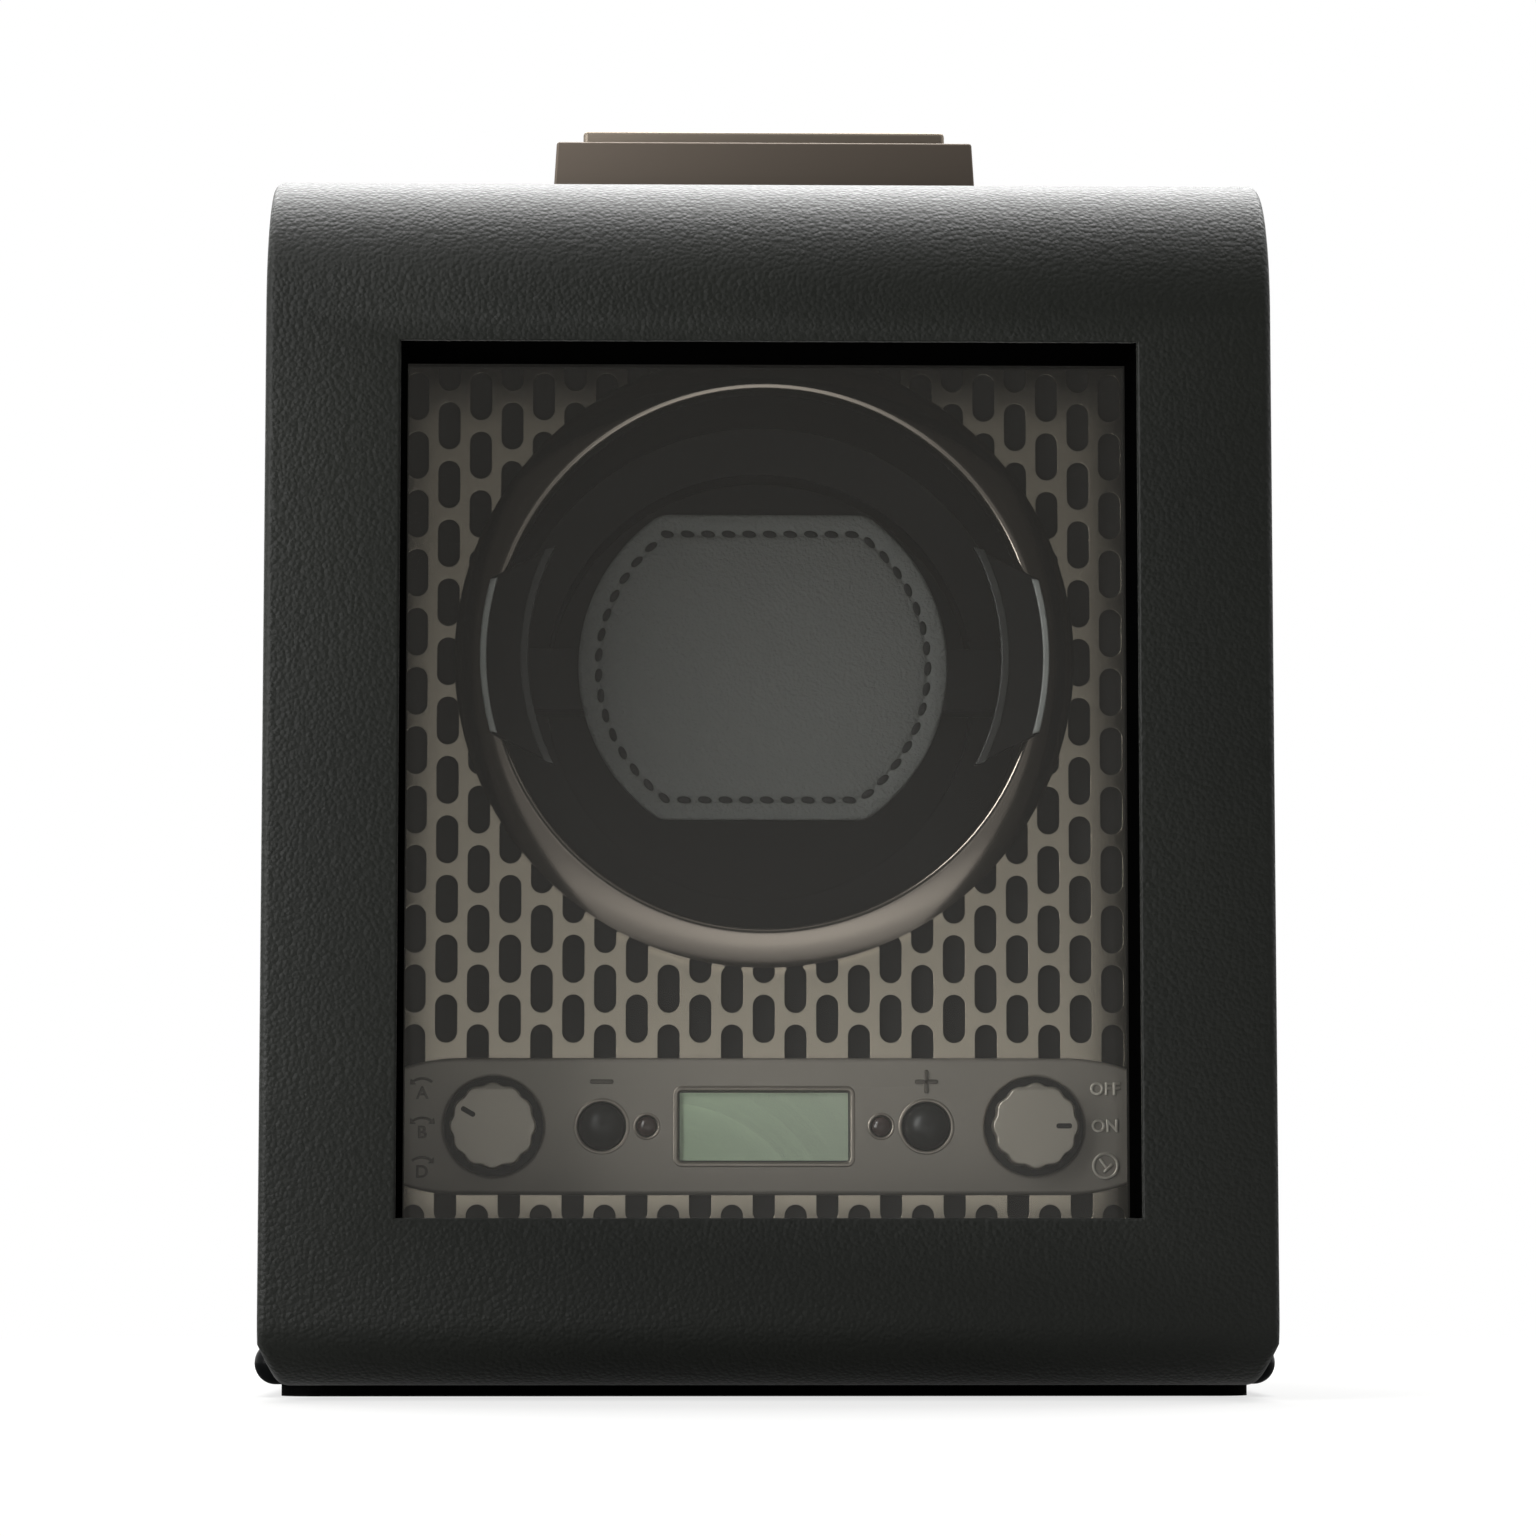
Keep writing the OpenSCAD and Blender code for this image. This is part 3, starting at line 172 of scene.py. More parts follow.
def soft_lamp(name, place, aim, width, height, watts):
    """A rectangular soft lamp that looks at a point."""
    bpy.ops.object.light_add(type="AREA", location=place)
    lamp = bpy.context.object
    lamp.name = name
    lamp.data.shape = "RECTANGLE"
    lamp.data.size = width
    lamp.data.size_y = height
    lamp.data.energy = watts
    lamp.rotation_euler = (Vector(aim) - Vector(place)).to_track_quat("-Z", "Y").to_euler()


soft_lamp("rear_softbox", (0, 0.32, 0.8), (0, 0, 0.21), width=1.0, height=0.7, watts=18)
soft_lamp("left_softbox", (-0.8, -0.9, 0.8), (0, 0, 0.12), width=0.6, height=0.6, watts=7)
soft_lamp("left_near", (-0.45, -0.42, 0.12), (-0.05, face_y, 0.12), width=0.35, height=0.35, watts=1.9)


# ---- Leather of the door: one piece of fine pebbled black leather, glued over the door's frame and
# turned in at the window. Its long edges are soft, and its grain catches the light from above.
def pick(piece, faces=None, edges=None):
    """Enter edit mode with only those faces or edges selected that pass a test of their middle."""
    mesh = piece.data
    select_only(piece)
    bpy.ops.object.mode_set(mode="EDIT")
    bpy.ops.mesh.select_mode(type="FACE" if faces else "EDGE")
    bpy.ops.mesh.select_all(action="DESELECT")
    bpy.ops.object.mode_set(mode="OBJECT")
    for face in mesh.polygons if faces else []:
        face.select = bool(faces(face.center, face.normal))
    for edge in mesh.edges if edges else []:
        ends = [mesh.vertices[i].co for i in edge.vertices]
        edge.select = bool(edges((ends[0] + ends[1]) / 2, (ends[1] - ends[0]).normalized()))
    bpy.ops.object.mode_set(mode="EDIT")


def done():
    """Leave edit mode."""
    bpy.ops.object.mode_set(mode="OBJECT")


def select_only(piece):
    """Select one piece and nothing else, in object mode."""
    bpy.ops.object.select_all(action="DESELECT")
    bpy.context.view_layer.objects.active = piece
    piece.select_set(True)


def named(name):
    """The object that an operator has just made, given its name."""
    piece = bpy.context.object
    piece.name = name
    piece.data.name = name
    return piece


def new_box(name, low, high):
    """A box between two corners, as the start of a piece."""
    low, high = Vector(low), Vector(high)
    bpy.ops.mesh.primitive_cube_add(size=1, location=(low + high) / 2, scale=high - low)
    bpy.ops.object.transform_apply(location=True, rotation=True, scale=True)
    return named(name)


def modify(piece, kind, **settings):
    """Add a modifier with its settings, and apply it."""
    select_only(piece)
    step = piece.modifiers.new(kind.lower(), kind)
    for name, value in settings.items():
        setattr(step, name, value)
    bpy.ops.object.modifier_apply(modifier=step.name)


def soften(piece, width, segments=3, degrees=40):
    """Round every edge that is sharper than an angle."""
    modify(piece, "BEVEL", width=width, segments=segments, limit_method="ANGLE",
           angle_limit=math.radians(degrees), harden_normals=False)


def cut_away(piece, cutter):
    """Take the cutter's shape off the piece, and remove the cutter."""
    modify(piece, "BOOLEAN", operation="DIFFERENCE", object=cutter, solver="EXACT")
    bpy.data.objects.remove(cutter)


def smooth(piece, degrees=35, flat_faces=False):
    """Shade it round, and where asked keep its large flat faces flat up to their rims."""
    select_only(piece)
    bpy.ops.object.shade_smooth_by_angle(angle=math.radians(degrees))
    if flat_faces:
        modify(piece, "WEIGHTED_NORMAL", keep_sharp=True, weight=100)


def finish(piece, material, body, nodes=()):
    """Dress the piece, and say what carries it and the CAD nodes that it stands for."""
    piece.data.materials.clear()
    piece.data.materials.append(material)
    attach(piece, body)
    if nodes:
        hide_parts(*nodes)


def near(a, b, within=0.05 * MM):
    """Whether two lengths are the same to the eye."""
    return abs(a - b) < within


low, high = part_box("door_leather")
window_low, window_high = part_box("window_reveal")
reveal_t = 1.5 * MM
window_low = window_low + Vector((reveal_t, 0, reveal_t))
window_high = window_high - Vector((reveal_t, 0, reveal_t))
leather_t = 1.2 * MM
top_round = 28 * MM
low_round = 12 * MM
edge_round = 1.7 * MM
window_round = 0.5 * MM
corner_cut = 3.2 * MM
corner_top = 10 * MM
slack = 0.01 * MM
cut_reach = 20 * MM
door_leather = new_box("door_leather_skin", low, high)
pick(door_leather, edges=lambda m, d: near(m.y, low.y) and near(m.z, high.z))
bpy.ops.mesh.bevel(offset=top_round, segments=28, affect="EDGES")
done()
pick(door_leather, edges=lambda m, d: near(m.y, low.y) and near(m.z, low.z))
bpy.ops.mesh.bevel(offset=low_round, segments=14, affect="EDGES")
done()
for side in (-1, 1):
    pick(door_leather, faces=lambda m, n: True)
    cut_normal = Vector((side * (corner_top - low.z), 0, -corner_cut)).normalized()
    bpy.ops.mesh.bisect(plane_co=(side * high.x, 0, corner_top), plane_no=cut_normal,
                        use_fill=True, clear_outer=True)
    done()
pick(door_leather, faces=lambda m, n: n.y > 0.9)
bpy.ops.mesh.delete(type="FACE")
done()
soften(door_leather, edge_round, segments=5, degrees=38)
modify(door_leather, "SOLIDIFY", thickness=leather_t, offset=-1)
cut_away(door_leather, new_box("cutter", window_low - Vector((0, cut_reach, 0)), window_high))
pick(door_leather, edges=lambda m, d: near(m.y, low.y)
     and window_low.x - slack < m.x < window_high.x + slack
     and window_low.z - slack < m.z < window_high.z + slack)
bpy.ops.mesh.bevel(offset=window_round, segments=4, affect="EDGES")
done()
smooth(door_leather)

# Embossed leather breaks the light from above into fine dull points, one for each pebble of about
# 0.85 mm, with faint creases between them and slow changes of its tone.
pebble = 0.85 * MM
crease = 0.9 * MM
patch_size = 45 * MM
grain_depth = 0.17 * MM
FIRST, SECOND, BLEND = 6, 7, 2  # sockets of a Mix node that take two colours and give their blend
leather = bpy.data.materials.new("pebbled_black_leather")
leather.use_nodes = True
tree = leather.node_tree
skin = tree.nodes["Principled BSDF"]
spot = add(tree, "ShaderNodeTexCoord", {}).outputs["Object"]
pebbles = add(tree, "ShaderNodeTexVoronoi", {"Vector": spot, "Scale": 1 / pebble}, feature="F1")
creases = add(tree, "ShaderNodeTexNoise",
              {"Vector": spot, "Scale": 1 / crease, "Detail": 3, "Roughness": 0.65})
patches = add(tree, "ShaderNodeTexNoise", {"Vector": spot, "Scale": 1 / patch_size, "Detail": 3})
height = add(tree, "ShaderNodeMath", {0: creases.outputs["Fac"], 1: -0.7, 2: pebbles.outputs["Distance"]},
             operation="MULTIPLY_ADD")
bump = add(tree, "ShaderNodeBump", {"Height": height, "Strength": 0.7, "Distance": grain_depth},
           invert=True)
tone = add(tree, "ShaderNodeMix",
           {"Factor": patches.outputs["Fac"], FIRST: linear("10120f"), SECOND: linear("171914")},
           data_type="RGBA")
sheen = add(tree, "ShaderNodeMapRange", {"Value": creases.outputs["Fac"], "From Min": 0.3, "From Max": 0.7,
                                         "To Min": 0.44, "To Max": 0.56})
tree.links.new(tone.outputs[BLEND], skin.inputs["Base Color"])
tree.links.new(sheen.outputs[0], skin.inputs["Roughness"])
tree.links.new(bump.outputs[0], skin.inputs["Normal"])
skin.inputs["Specular IOR Level"].default_value = 0.28
skin.inputs["Sheen Weight"].default_value = 0.12
skin.inputs["Sheen Roughness"].default_value = 0.4
finish(door_leather, leather, "door", ["door_leather"])


# ---- Inside of the door: a board frame, the black lining of the window, the pane and the frame that
# holds it from behind. The pane is coated float glass, so it mirrors the room only faintly, and a warm
# veil of stray light is painted over it as a faint glow.
def dress(material, *names):
    """Put a material on pieces that stay as the solids are."""
    for name in names:
        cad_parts[name].data.materials.clear()
        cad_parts[name].data.materials.append(material)


def surface(name, colour, metal=0.0, rough=0.5, gloss=0.5, grain=None, marks=None, edge=None):
    """A surface of one colour. Grain is a fine bump of a size and a depth in mm, marks is the size in mm
    of cloudy changes in its polish, and edge is a radius in mm that its sharp edges are shaded with."""
    made = bpy.data.materials.new(name)
    made.use_nodes = True
    tree = made.node_tree
    body = tree.nodes["Principled BSDF"]
    body.inputs["Base Color"].default_value = linear(colour)
    body.inputs["Metallic"].default_value = metal
    body.inputs["Roughness"].default_value = rough
    if not metal:
        body.inputs["Specular IOR Level"].default_value = gloss
    spot = add(tree, "ShaderNodeTexCoord", {}).outputs["Object"]
    normal = None
    if edge:
        normal = add(tree, "ShaderNodeBevel", {"Radius": edge * MM}, samples=4).outputs[0]
    if grain:
        size, depth = grain
        dots = add(tree, "ShaderNodeTexNoise", {"Vector": spot, "Scale": 1 / (size * MM), "Detail": 2})
        bump = add(tree, "ShaderNodeBump", {"Height": dots, "Strength": 1, "Distance": depth * MM})
        if normal:
            tree.links.new(normal, bump.inputs["Normal"])
        normal = bump.outputs[0]
    if normal:
        tree.links.new(normal, body.inputs["Normal"])
    if marks:
        cloud = add(tree, "ShaderNodeTexNoise", {"Vector": spot, "Scale": 1 / (marks * MM), "Detail": 4})
        polish = add(tree, "ShaderNodeMapRange", {"Value": cloud.outputs["Fac"], "To Min": rough * 0.85,
                                                  "To Max": rough * 1.15})
        tree.links.new(polish.outputs[0], body.inputs["Roughness"])
    return made


# Sawn fibre board looks dull and a little furry. Matt paint inside the window swallows the light.
raw_board = surface("grey_fibre_board", "4a4640", rough=0.85, gloss=0.2, grain=(0.6, 0.05), marks=8)
black_paint = surface("black_matt_paint", "030303", rough=0.9, gloss=0)
# Ground steel shows small bright glints, and blackened steel dark ones.
bright_steel = surface("bright_steel", "b4b4b2", metal=1, rough=0.28, marks=4)
dark_steel = surface("blackened_steel", "3a3a3c", metal=1, rough=0.4, marks=3)
dress(raw_board, "door_core")
dress(black_paint, "window_reveal", "glass_retainer")
dress(dark_steel, "retainer_screws")
dress(bright_steel, "door_magnets", "case_magnets")

# Float glass is clear from the front and mirrors more at a glance, with warm dust on it. A faint warm
# glow on it is painted light, standing in for a veil of stray light.
pane = bpy.data.materials.new("coated_clear_glass")
pane.use_nodes = True
tree = pane.node_tree
tree.nodes.clear()
through = add(tree, "ShaderNodeBsdfTransparent", {"Color": (0.97, 0.975, 0.97, 1)})
haze = add(tree, "ShaderNodeBsdfDiffuse", {"Color": (1, 0.98, 0.94, 1)})
dusty = add(tree, "ShaderNodeMixShader", {0: 0.002, 1: through, 2: haze})
painted_glow_veil = add(tree, "ShaderNodeEmission", {"Color": (1, 0.96, 0.87, 1), "Strength": 0.009})
veiled = add(tree, "ShaderNodeAddShader", {0: dusty, 1: painted_glow_veil})
mirror = add(tree, "ShaderNodeBsdfGlossy", {"Roughness": 0.03, "Color": (1, 0.98, 0.95, 1)})
glance = add(tree, "ShaderNodeFresnel", {"IOR": 1.2})
both = add(tree, "ShaderNodeMixShader", {0: glance, 1: veiled, 2: mirror})
add(tree, "ShaderNodeOutputMaterial", {0: both})
dress(pane, "door_glass")

# ---- Leather of the case: the same black leather, drawn over the sides, the top and the rounded rear
# edge of the boards. At the front of its top it leaves a rebate for the barrel of the door's hinge.
low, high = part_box("case_wrap")
rear_round = 24 * MM
case_edge = 1 * MM
rebate_z = 214.6 * MM
rebate_depth = 4.6 * MM
rear_wrap = 4 * MM
past = 10 * MM
opening_low, opening_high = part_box("back_panel")
case_leather = new_box("case_leather_skin", low, high)
pick(case_leather, edges=lambda m, d: near(m.y, high.y) and near(m.z, high.z))
bpy.ops.mesh.bevel(offset=rear_round, segments=24, affect="EDGES")
done()
cut_away(case_leather, new_box("cutter", (low.x - past, low.y - past, rebate_z),
                               (high.x + past, low.y + rebate_depth, high.z + past)))
pick(case_leather, faces=lambda m, n: n.z < -0.9 and near(m.z, low.z))
bpy.ops.mesh.delete(type="FACE")
done()
pick(case_leather, faces=lambda m, n: n.y < -0.9 and near(m.y, low.y))
bpy.ops.mesh.delete(type="FACE")
done()
soften(case_leather, case_edge, segments=4, degrees=38)
modify(case_leather, "SOLIDIFY", thickness=leather_t, offset=-1)
cut_away(case_leather, new_box("cutter", (opening_low.x, high.y - rear_wrap, low.z - past),
                               (opening_high.x, high.y + past, opening_high.z)))
smooth(case_leather)
finish(case_leather, leather, "case", ["case_wrap"])

# ---- Boards of the case: they are painted black and joined by softwood battens and blackened screws. The
# door's hinge is at their top edge, with blackened brackets and bright steel pins.
#
# Planed softwood is pale and dry. The boards' paint has a low sheen, cloudy from the brush.
pale_wood = surface("pale_softwood", "a98a62", rough=0.7, gloss=0.3, grain=(0.4, 0.05), marks=5)
painted_board = surface("black_painted_board", "171614", rough=0.55, gloss=0.3, marks=30)
dress(painted_board, "left_side", "right_side", "top_board", "floor_board")
dress(pale_wood, "battens")
dress(dark_steel, "wood_screws", "hinge_brackets")
dress(bright_steel, "hinge_pins")

# ---- Plinth: a black lacquered board with a full round along its edges, wider than the case. The pad
# below it is black felt.
low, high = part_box("base_plinth")
plinth = new_box("plinth_board", low, high)
modify(plinth, "BEVEL", width=(high.z - low.z) / 2 - 0.02 * MM, segments=10, limit_method="NONE")
smooth(plinth, 40)
# Satin lacquer is smooth, and shows the light as one soft line along its rounded edge. Felt shows none.
lacquer = surface("black_satin_lacquer", "08090a", rough=0.3, gloss=0.08, marks=25)
finish(plinth, lacquer, "case", ["base_plinth"])
felt = surface("black_felt", "0a0a0a", rough=1, gloss=0.05, grain=(0.3, 0.15))
dress(felt, "base_pad")

# ---- Handle: a tray of satin bronze-grey metal, screwed on the top of the case, and a bail of the same
# metal, painted paler as painted light on its top, that folds down into it on two pins and stands a
# little above its rim.
low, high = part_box("handle_tray")
bail_low, bail_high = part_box("handle_bail")
tray_taper = 0.8 * MM
tray_edge = 0.5 * MM
bail_gap = 0.35 * MM
rear_wall = 3.5 * MM
well_side = 9.5 * MM
well_front = 2 * MM
well_rear = 8.5 * MM
well_floor = 4 * MM
grip_w = 8 * MM
bail_edge = 0.9 * MM
grip_round = 3.2 * MM
tray = new_box("handle_tray_shell", low, high)
pick(tray, faces=lambda m, n: n.z > 0.9)
bpy.ops.transform.resize(value=(1 - tray_taper / high.x, 1, 1), center_override=(0, 0, 0))
done()
cut_away(tray, new_box("cutter", (bail_low.x - bail_gap, bail_low.y - 0.3 * MM, bail_low.z - 0.2 * MM),
                       (bail_high.x + bail_gap, high.y - rear_wall, high.z + 1 * MM)))
cut_away(tray, new_box("cutter", (bail_low.x + well_side, bail_low.y + well_front, low.z + well_floor),
                       (bail_high.x - well_side, high.y - well_rear, high.z)))
soften(tray, tray_edge, segments=4)
smooth(tray)
# Blasted metal has an even, dull sheen.
gunmetal = surface("satin_bronze_grey_metal", "70675e", metal=1, rough=0.6, grain=(0.25, 0.004))
finish(tray, gunmetal, "case", ["handle_tray"])

bail = new_box("handle_bail_bar", bail_low, bail_high)
cut_away(bail, new_box("cutter", (bail_low.x + grip_w, bail_low.y + grip_w, bail_low.z - past),
                       (bail_high.x - grip_w, bail_high.y + past, bail_high.z + past)))
pick(bail, edges=lambda m, d: near(m.y, bail_high.y) and abs(d.x) > 0.9)
bpy.ops.mesh.bevel(offset=grip_round, segments=8, affect="EDGES")
done()
soften(bail, bail_edge, segments=4)
smooth(bail)
# The bail's metal is a paler, slightly less rough copy, painted light for its top that faces the lamps.
painted_light_gunmetal = surface("bronze_grey_metal_painted_light", "8b8175", metal=1, rough=0.5, grain=(0.25, 0.004))
finish(bail, painted_light_gunmetal, "handle", ["handle_bail"])
dress(bright_steel, "handle_pins")

# ---- Fascia: a slotted plate of anodised metal in a warm grey, a black sheet behind it and the black
# lining of the chamber in front of it.
#
# Anodised metal has soft broad reflections, and a thin bright line where the edge of a slot is eased.
anodised = surface("warm_grey_anodised_metal", "bdb3a3", metal=1, rough=0.22, grain=(0.2, 0.003),
                   marks=10, edge=0.15)
dress(anodised, "fascia_plate")
# The sheet and the card give back almost nothing, so the slots and the chamber read as deep.
black_sheet = surface("black_sheet", "0a0a0a", rough=0.7, gloss=0.2)
black_card = surface("black_card", "050505", rough=0.9, gloss=0)
dress(black_sheet, "fascia_backing")
dress(black_card, "chamber_lining")


# ---- Drum: a bezel ring of polished grey metal, slightly domed, with a small lip round its inner edge. It
# sits on the front of the black moulded cup, which is stepped inside and turns on a steel shaft.
def at(x, depth, z):
    """A point given in millimetres, with its depth behind the door's face."""
    return Vector((x * MM, face_y + depth * MM, z * MM))


def outline(name, points):
    """A closed wire through points, as the start of a piece."""
    mesh = bpy.data.meshes.new(name)
    count = len(points)
    mesh.from_pydata(points, [(k, (k + 1) % count) for k in range(count)], [])
    piece = bpy.data.objects.new(name, mesh)
    bpy.context.collection.objects.link(piece)
    return piece


def close_up(piece, threshold=None):
    """Merge a mesh's doubles, where a threshold is given, and point its faces outwards."""
    select_only(piece)
    bpy.ops.object.mode_set(mode="EDIT")
    bpy.ops.mesh.select_all(action="SELECT")
    if threshold:
        bpy.ops.mesh.remove_doubles(threshold=threshold)
    bpy.ops.mesh.normals_make_consistent(inside=False)
    done()
    return piece


def turned(name, profile, centre, steps=144):
    """Spin a closed profile, given as radius and depth in mm, about an axis that runs front to back."""
    piece = outline(name, [centre + at(r, d, 0) - at(0, 0, 0) for r, d in profile])
    select_only(piece)
    bpy.ops.object.mode_set(mode="EDIT")
    bpy.ops.mesh.select_all(action="SELECT")
    bpy.ops.mesh.spin(steps=steps, angle=math.radians(360), center=centre, axis=(0, 1, 0))
    bpy.ops.mesh.remove_doubles(threshold=0.001 * MM)
    done()
    return close_up(piece)


low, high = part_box("drum_bezel")
drum_centre = Vector(((low.x + high.x) / 2, face_y, (low.z + high.z) / 2))
bezel_r = (high.x - low.x) / 2 / MM
bezel_w = 7.3
bezel_back = 51.5
bezel_fall = 2
lip_w = 1
crown_steps = 12
crest = (low.y - face_y) / MM
inner = bezel_r - bezel_w
profile = [(bezel_r, bezel_back), (inner, bezel_back)]
lip_steps = ((0, 0.7), (0.05, 0.45), (0.15, 0.3), (0.3, 0.18), (0.5, 0.09), (0.75, 0.03), (lip_w, 0))
profile += [(inner + out, crest + d) for out, d in lip_steps]
for k in range(1, crown_steps + 1):
    t = k / crown_steps
    profile.append((bezel_r - (bezel_w - lip_w) * (1 - t), crest + bezel_fall * (0.3 * t + 0.7 * t * t)))
bezel = turned("drum_bezel_ring", profile, drum_centre)
smooth(bezel, 50)
# Polished metal mirrors the lit table as a bright band round the ring. Moulded plastic has a soft sheen.
polished = surface("polished_grey_metal", "968d84", metal=1, rough=0.16, marks=15)
finish(bezel, polished, "drum", ["drum_bezel"])
moulded = surface("black_moulded_plastic", "060606", rough=0.45, gloss=0.3, edge=0.3)
dress(moulded, "drum_cup")
dress(bright_steel, "drum_shaft", "shaft_clip")

# ---- Cuff: a patch of charcoal leather with a stitched border on a fabric cushion, on a black core that
# springs against two black side wings. The wings hook over the bezel and hold the cuff in the drum.
low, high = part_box("cuff_patch")
patch_r = (high.x - low.x) / 2
patch_flat = (high.z - low.z) / 2


def arc(x, z, r, start, end, steps):
    """Points of an arc in a plane, from one angle to another in degrees."""
    angles = [math.radians(start + (end - start) * k / steps) for k in range(steps + 1)]
    return [(x + r * math.cos(a), z + r * math.sin(a)) for a in angles]


def flat_disc(r, flat, corner):
    """Rim of a disc in mm, about the drum's axis, with a flat top and bottom and eased corners."""
    x = math.sqrt((r - corner) ** 2 - (flat - corner) ** 2)
    turn = math.degrees(math.atan2(flat - corner, x))
    quarter = arc(0, 0, r, 0, turn, 36) + arc(x, flat - corner, corner, turn, 90, 8)[1:]
    rim = quarter + [(-px, pz) for px, pz in reversed(quarter)][:-1]
    return rim + [(-px, -pz) for px, pz in quarter] + [(px, -pz) for px, pz in reversed(quarter)][:-1]


def layered(name, loops):
    """A solid skinned over loops of equal length, each given as its points and its depth in mm."""
    mesh = bpy.data.meshes.new(name)
    count = len(loops[0][0])
    points = [drum_centre + at(x, depth, z) - at(0, 0, 0) for rim, depth in loops for x, z in rim]
    last = len(loops) - 1
    faces = []
    for start in range(0, last * count, count):
        for i in range(count):
            j = (i + 1) % count
            faces.append((start + i, start + j, start + count + j, start + count + i))
    faces += [tuple(range(count)), tuple(range(last * count, (last + 1) * count))]
    mesh.from_pydata(points, [], faces)
    piece = bpy.data.objects.new(name, mesh)
    bpy.context.collection.objects.link(piece)
    return close_up(piece)


def joined(name, parts):
    """Several pieces made one, under a name."""
    select_only(parts[0])
    for part in parts:
        part.select_set(True)
    bpy.ops.object.join()
    return named(name)


def depth_of(y):
    """Depth in mm behind the door's face."""
    return (y - face_y) / MM


def stand_up(piece, x, depth, z):
    """Turn a flat curve or text to face the front at a place, as a closed mesh."""
    select_only(piece)
    bpy.ops.object.convert(target="MESH")
    piece.rotation_euler = (math.radians(90), 0, 0)
    piece.location = at(x, depth, z)
    bpy.ops.object.transform_apply(location=True, rotation=True, scale=True)
    return close_up(piece, 0.002 * MM)


def plate(name, loops, front, back, edge):
    """A flat plate with rounded edges, from loops of points in mm: its rim first, and then any holes."""
    data = bpy.data.curves.new(name, "CURVE")
    data.dimensions = "2D"
    data.fill_mode = "BOTH"
    data.extrude = (back - front) / 2 * MM - edge * MM
    data.bevel_depth = edge * MM
    data.bevel_resolution = 3
    data.offset = -edge * MM
    for loop in loops:
        spline = data.splines.new("POLY")
        spline.points.add(len(loop) - 1)
        for point, (x, z) in zip(spline.points, loop):
            point.co = (x * MM, z * MM, 0, 1)
        spline.use_cyclic_u = True
    piece = bpy.data.objects.new(name, data)
    bpy.context.collection.objects.link(piece)
    return stand_up(piece, 0, (front + back) / 2, 0)


# The patch from its back to its middle, as distances in from its rim with their depths. A groove for the
# stitches runs round it, and its middle swells.
front = depth_of(low.y)
corner = 5
steps = [(0.15, 1.3), (0, 1.15), (0, 0.45), (0.1, 0.25), (0.35, 0.08), (0.8, 0), (3.1, -0.02), (3.3, 0.1),
         (3.5, 0.3), (4.0, 0.3), (4.2, 0.1), (4.5, -0.05), (6, -0.15), (9, -0.3), (14, -0.45), (20, -0.5),
         (25, -0.5)]
loops = [(flat_disc(patch_r / MM - t, patch_flat / MM - t, max(corner - 0.1 * t, 0.8)), front + d)
         for t, d in steps]
patch = layered("cuff_patch_leather", loops)
smooth(patch, 60)
# Soft leather with a coarse open grain, which catches small points of light all over the swell.
charcoal = surface("charcoal_leather", "4c4d4b", rough=0.6, gloss=0.35, grain=(0.7, 0.35), marks=10)
finish(patch, charcoal, "cuff", ["cuff_patch"])

# Slanted stitches of thick black thread lie in the groove.
stitch_in = 3.75 * MM
stitch_step = 3.9 * MM
stitch_half = Vector((1.4, 0.5, 0.8)) * MM
stitch_slant = math.radians(12)
stitch_r = patch_r - stitch_in
stitch_flat = patch_flat - stitch_in
turn = math.degrees(math.asin(stitch_flat / stitch_r))
path = [Vector((x, 0, z)) for x, z in arc(0, 0, stitch_r, -turn, turn, 200)]
path += [Vector((x, 0, z)) for x, z in arc(0, 0, stitch_r, 180 - turn, 180 + turn, 200)]
path.append(path[0])
run = sum((b - a).length for a, b in zip(path, path[1:]))
count = round(run / stitch_step)
stitches = []
for k in range(count):
    left = run * (k + 0.5) / count
    for a, b in zip(path, path[1:]):
        if left <= (b - a).length:
            break
        left -= (b - a).length
    way = (b - a).normalized()
    spot = Vector((drum_centre.x, low.y + 0.22 * MM, drum_centre.z)) + a + way * left
    turn = (0, stitch_slant - math.atan2(way.z, way.x), 0)
    bpy.ops.mesh.primitive_uv_sphere_add(segments=12, ring_count=8, radius=1, location=spot,
                                         scale=stitch_half, rotation=turn)
    stitches.append(bpy.context.object)
thread_run = joined("cuff_stitches", stitches)
bpy.ops.object.transform_apply(location=True, rotation=True, scale=True)
bpy.ops.object.shade_smooth()
# Waxed thread is dull, with a soft light along each stitch.
thread = surface("black_thread", "0c0c0c", rough=0.7, gloss=0.3)
finish(thread_run, thread, "cuff")

# The cushion behind the patch, as distances in from its widest outline with their depths.
low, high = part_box("cuff_pad")
pad_r = (high.x - low.x) / 2 / MM
pad_flat = (high.z - low.z) / 2 / MM
front = depth_of(low.y)
steps = [(3, 18), (1.8, 17.7), (0.9, 17), (0.2, 15.2), (0, 12), (0, 6), (0.15, 3), (0.7, 1.2), (1.6, 0.4),
         (3, 0)]
loops = [(flat_disc(pad_r - t, pad_flat - t, corner), front + d) for t, d in steps]
cushion = layered("cuff_cushion", loops)
smooth(cushion, 60)
# Felted fabric scatters the light, so the cushion shows no highlight.
fabric = surface("charcoal_felt_fabric", "1c1d1c", rough=0.95, gloss=0.1, grain=(0.4, 0.08), marks=6)
finish(cushion, fabric, "cuff", ["cuff_pad"])
dress(moulded, "cuff_core")

# Each wing is a curved plate that is wider inside, with a rim outside and a lip along the cup, both
# painted paler as painted highlights. A leg runs back from it to the core.
low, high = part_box("cuff_wings")
wing_out = high.x / MM
wing_in = wing_out - 9
leg_x = 48.4 * MM
leg_half = Vector((1.7, 0, 7)) * MM
leg_start = 2.4 * MM
leg_edge = 0.5 * MM
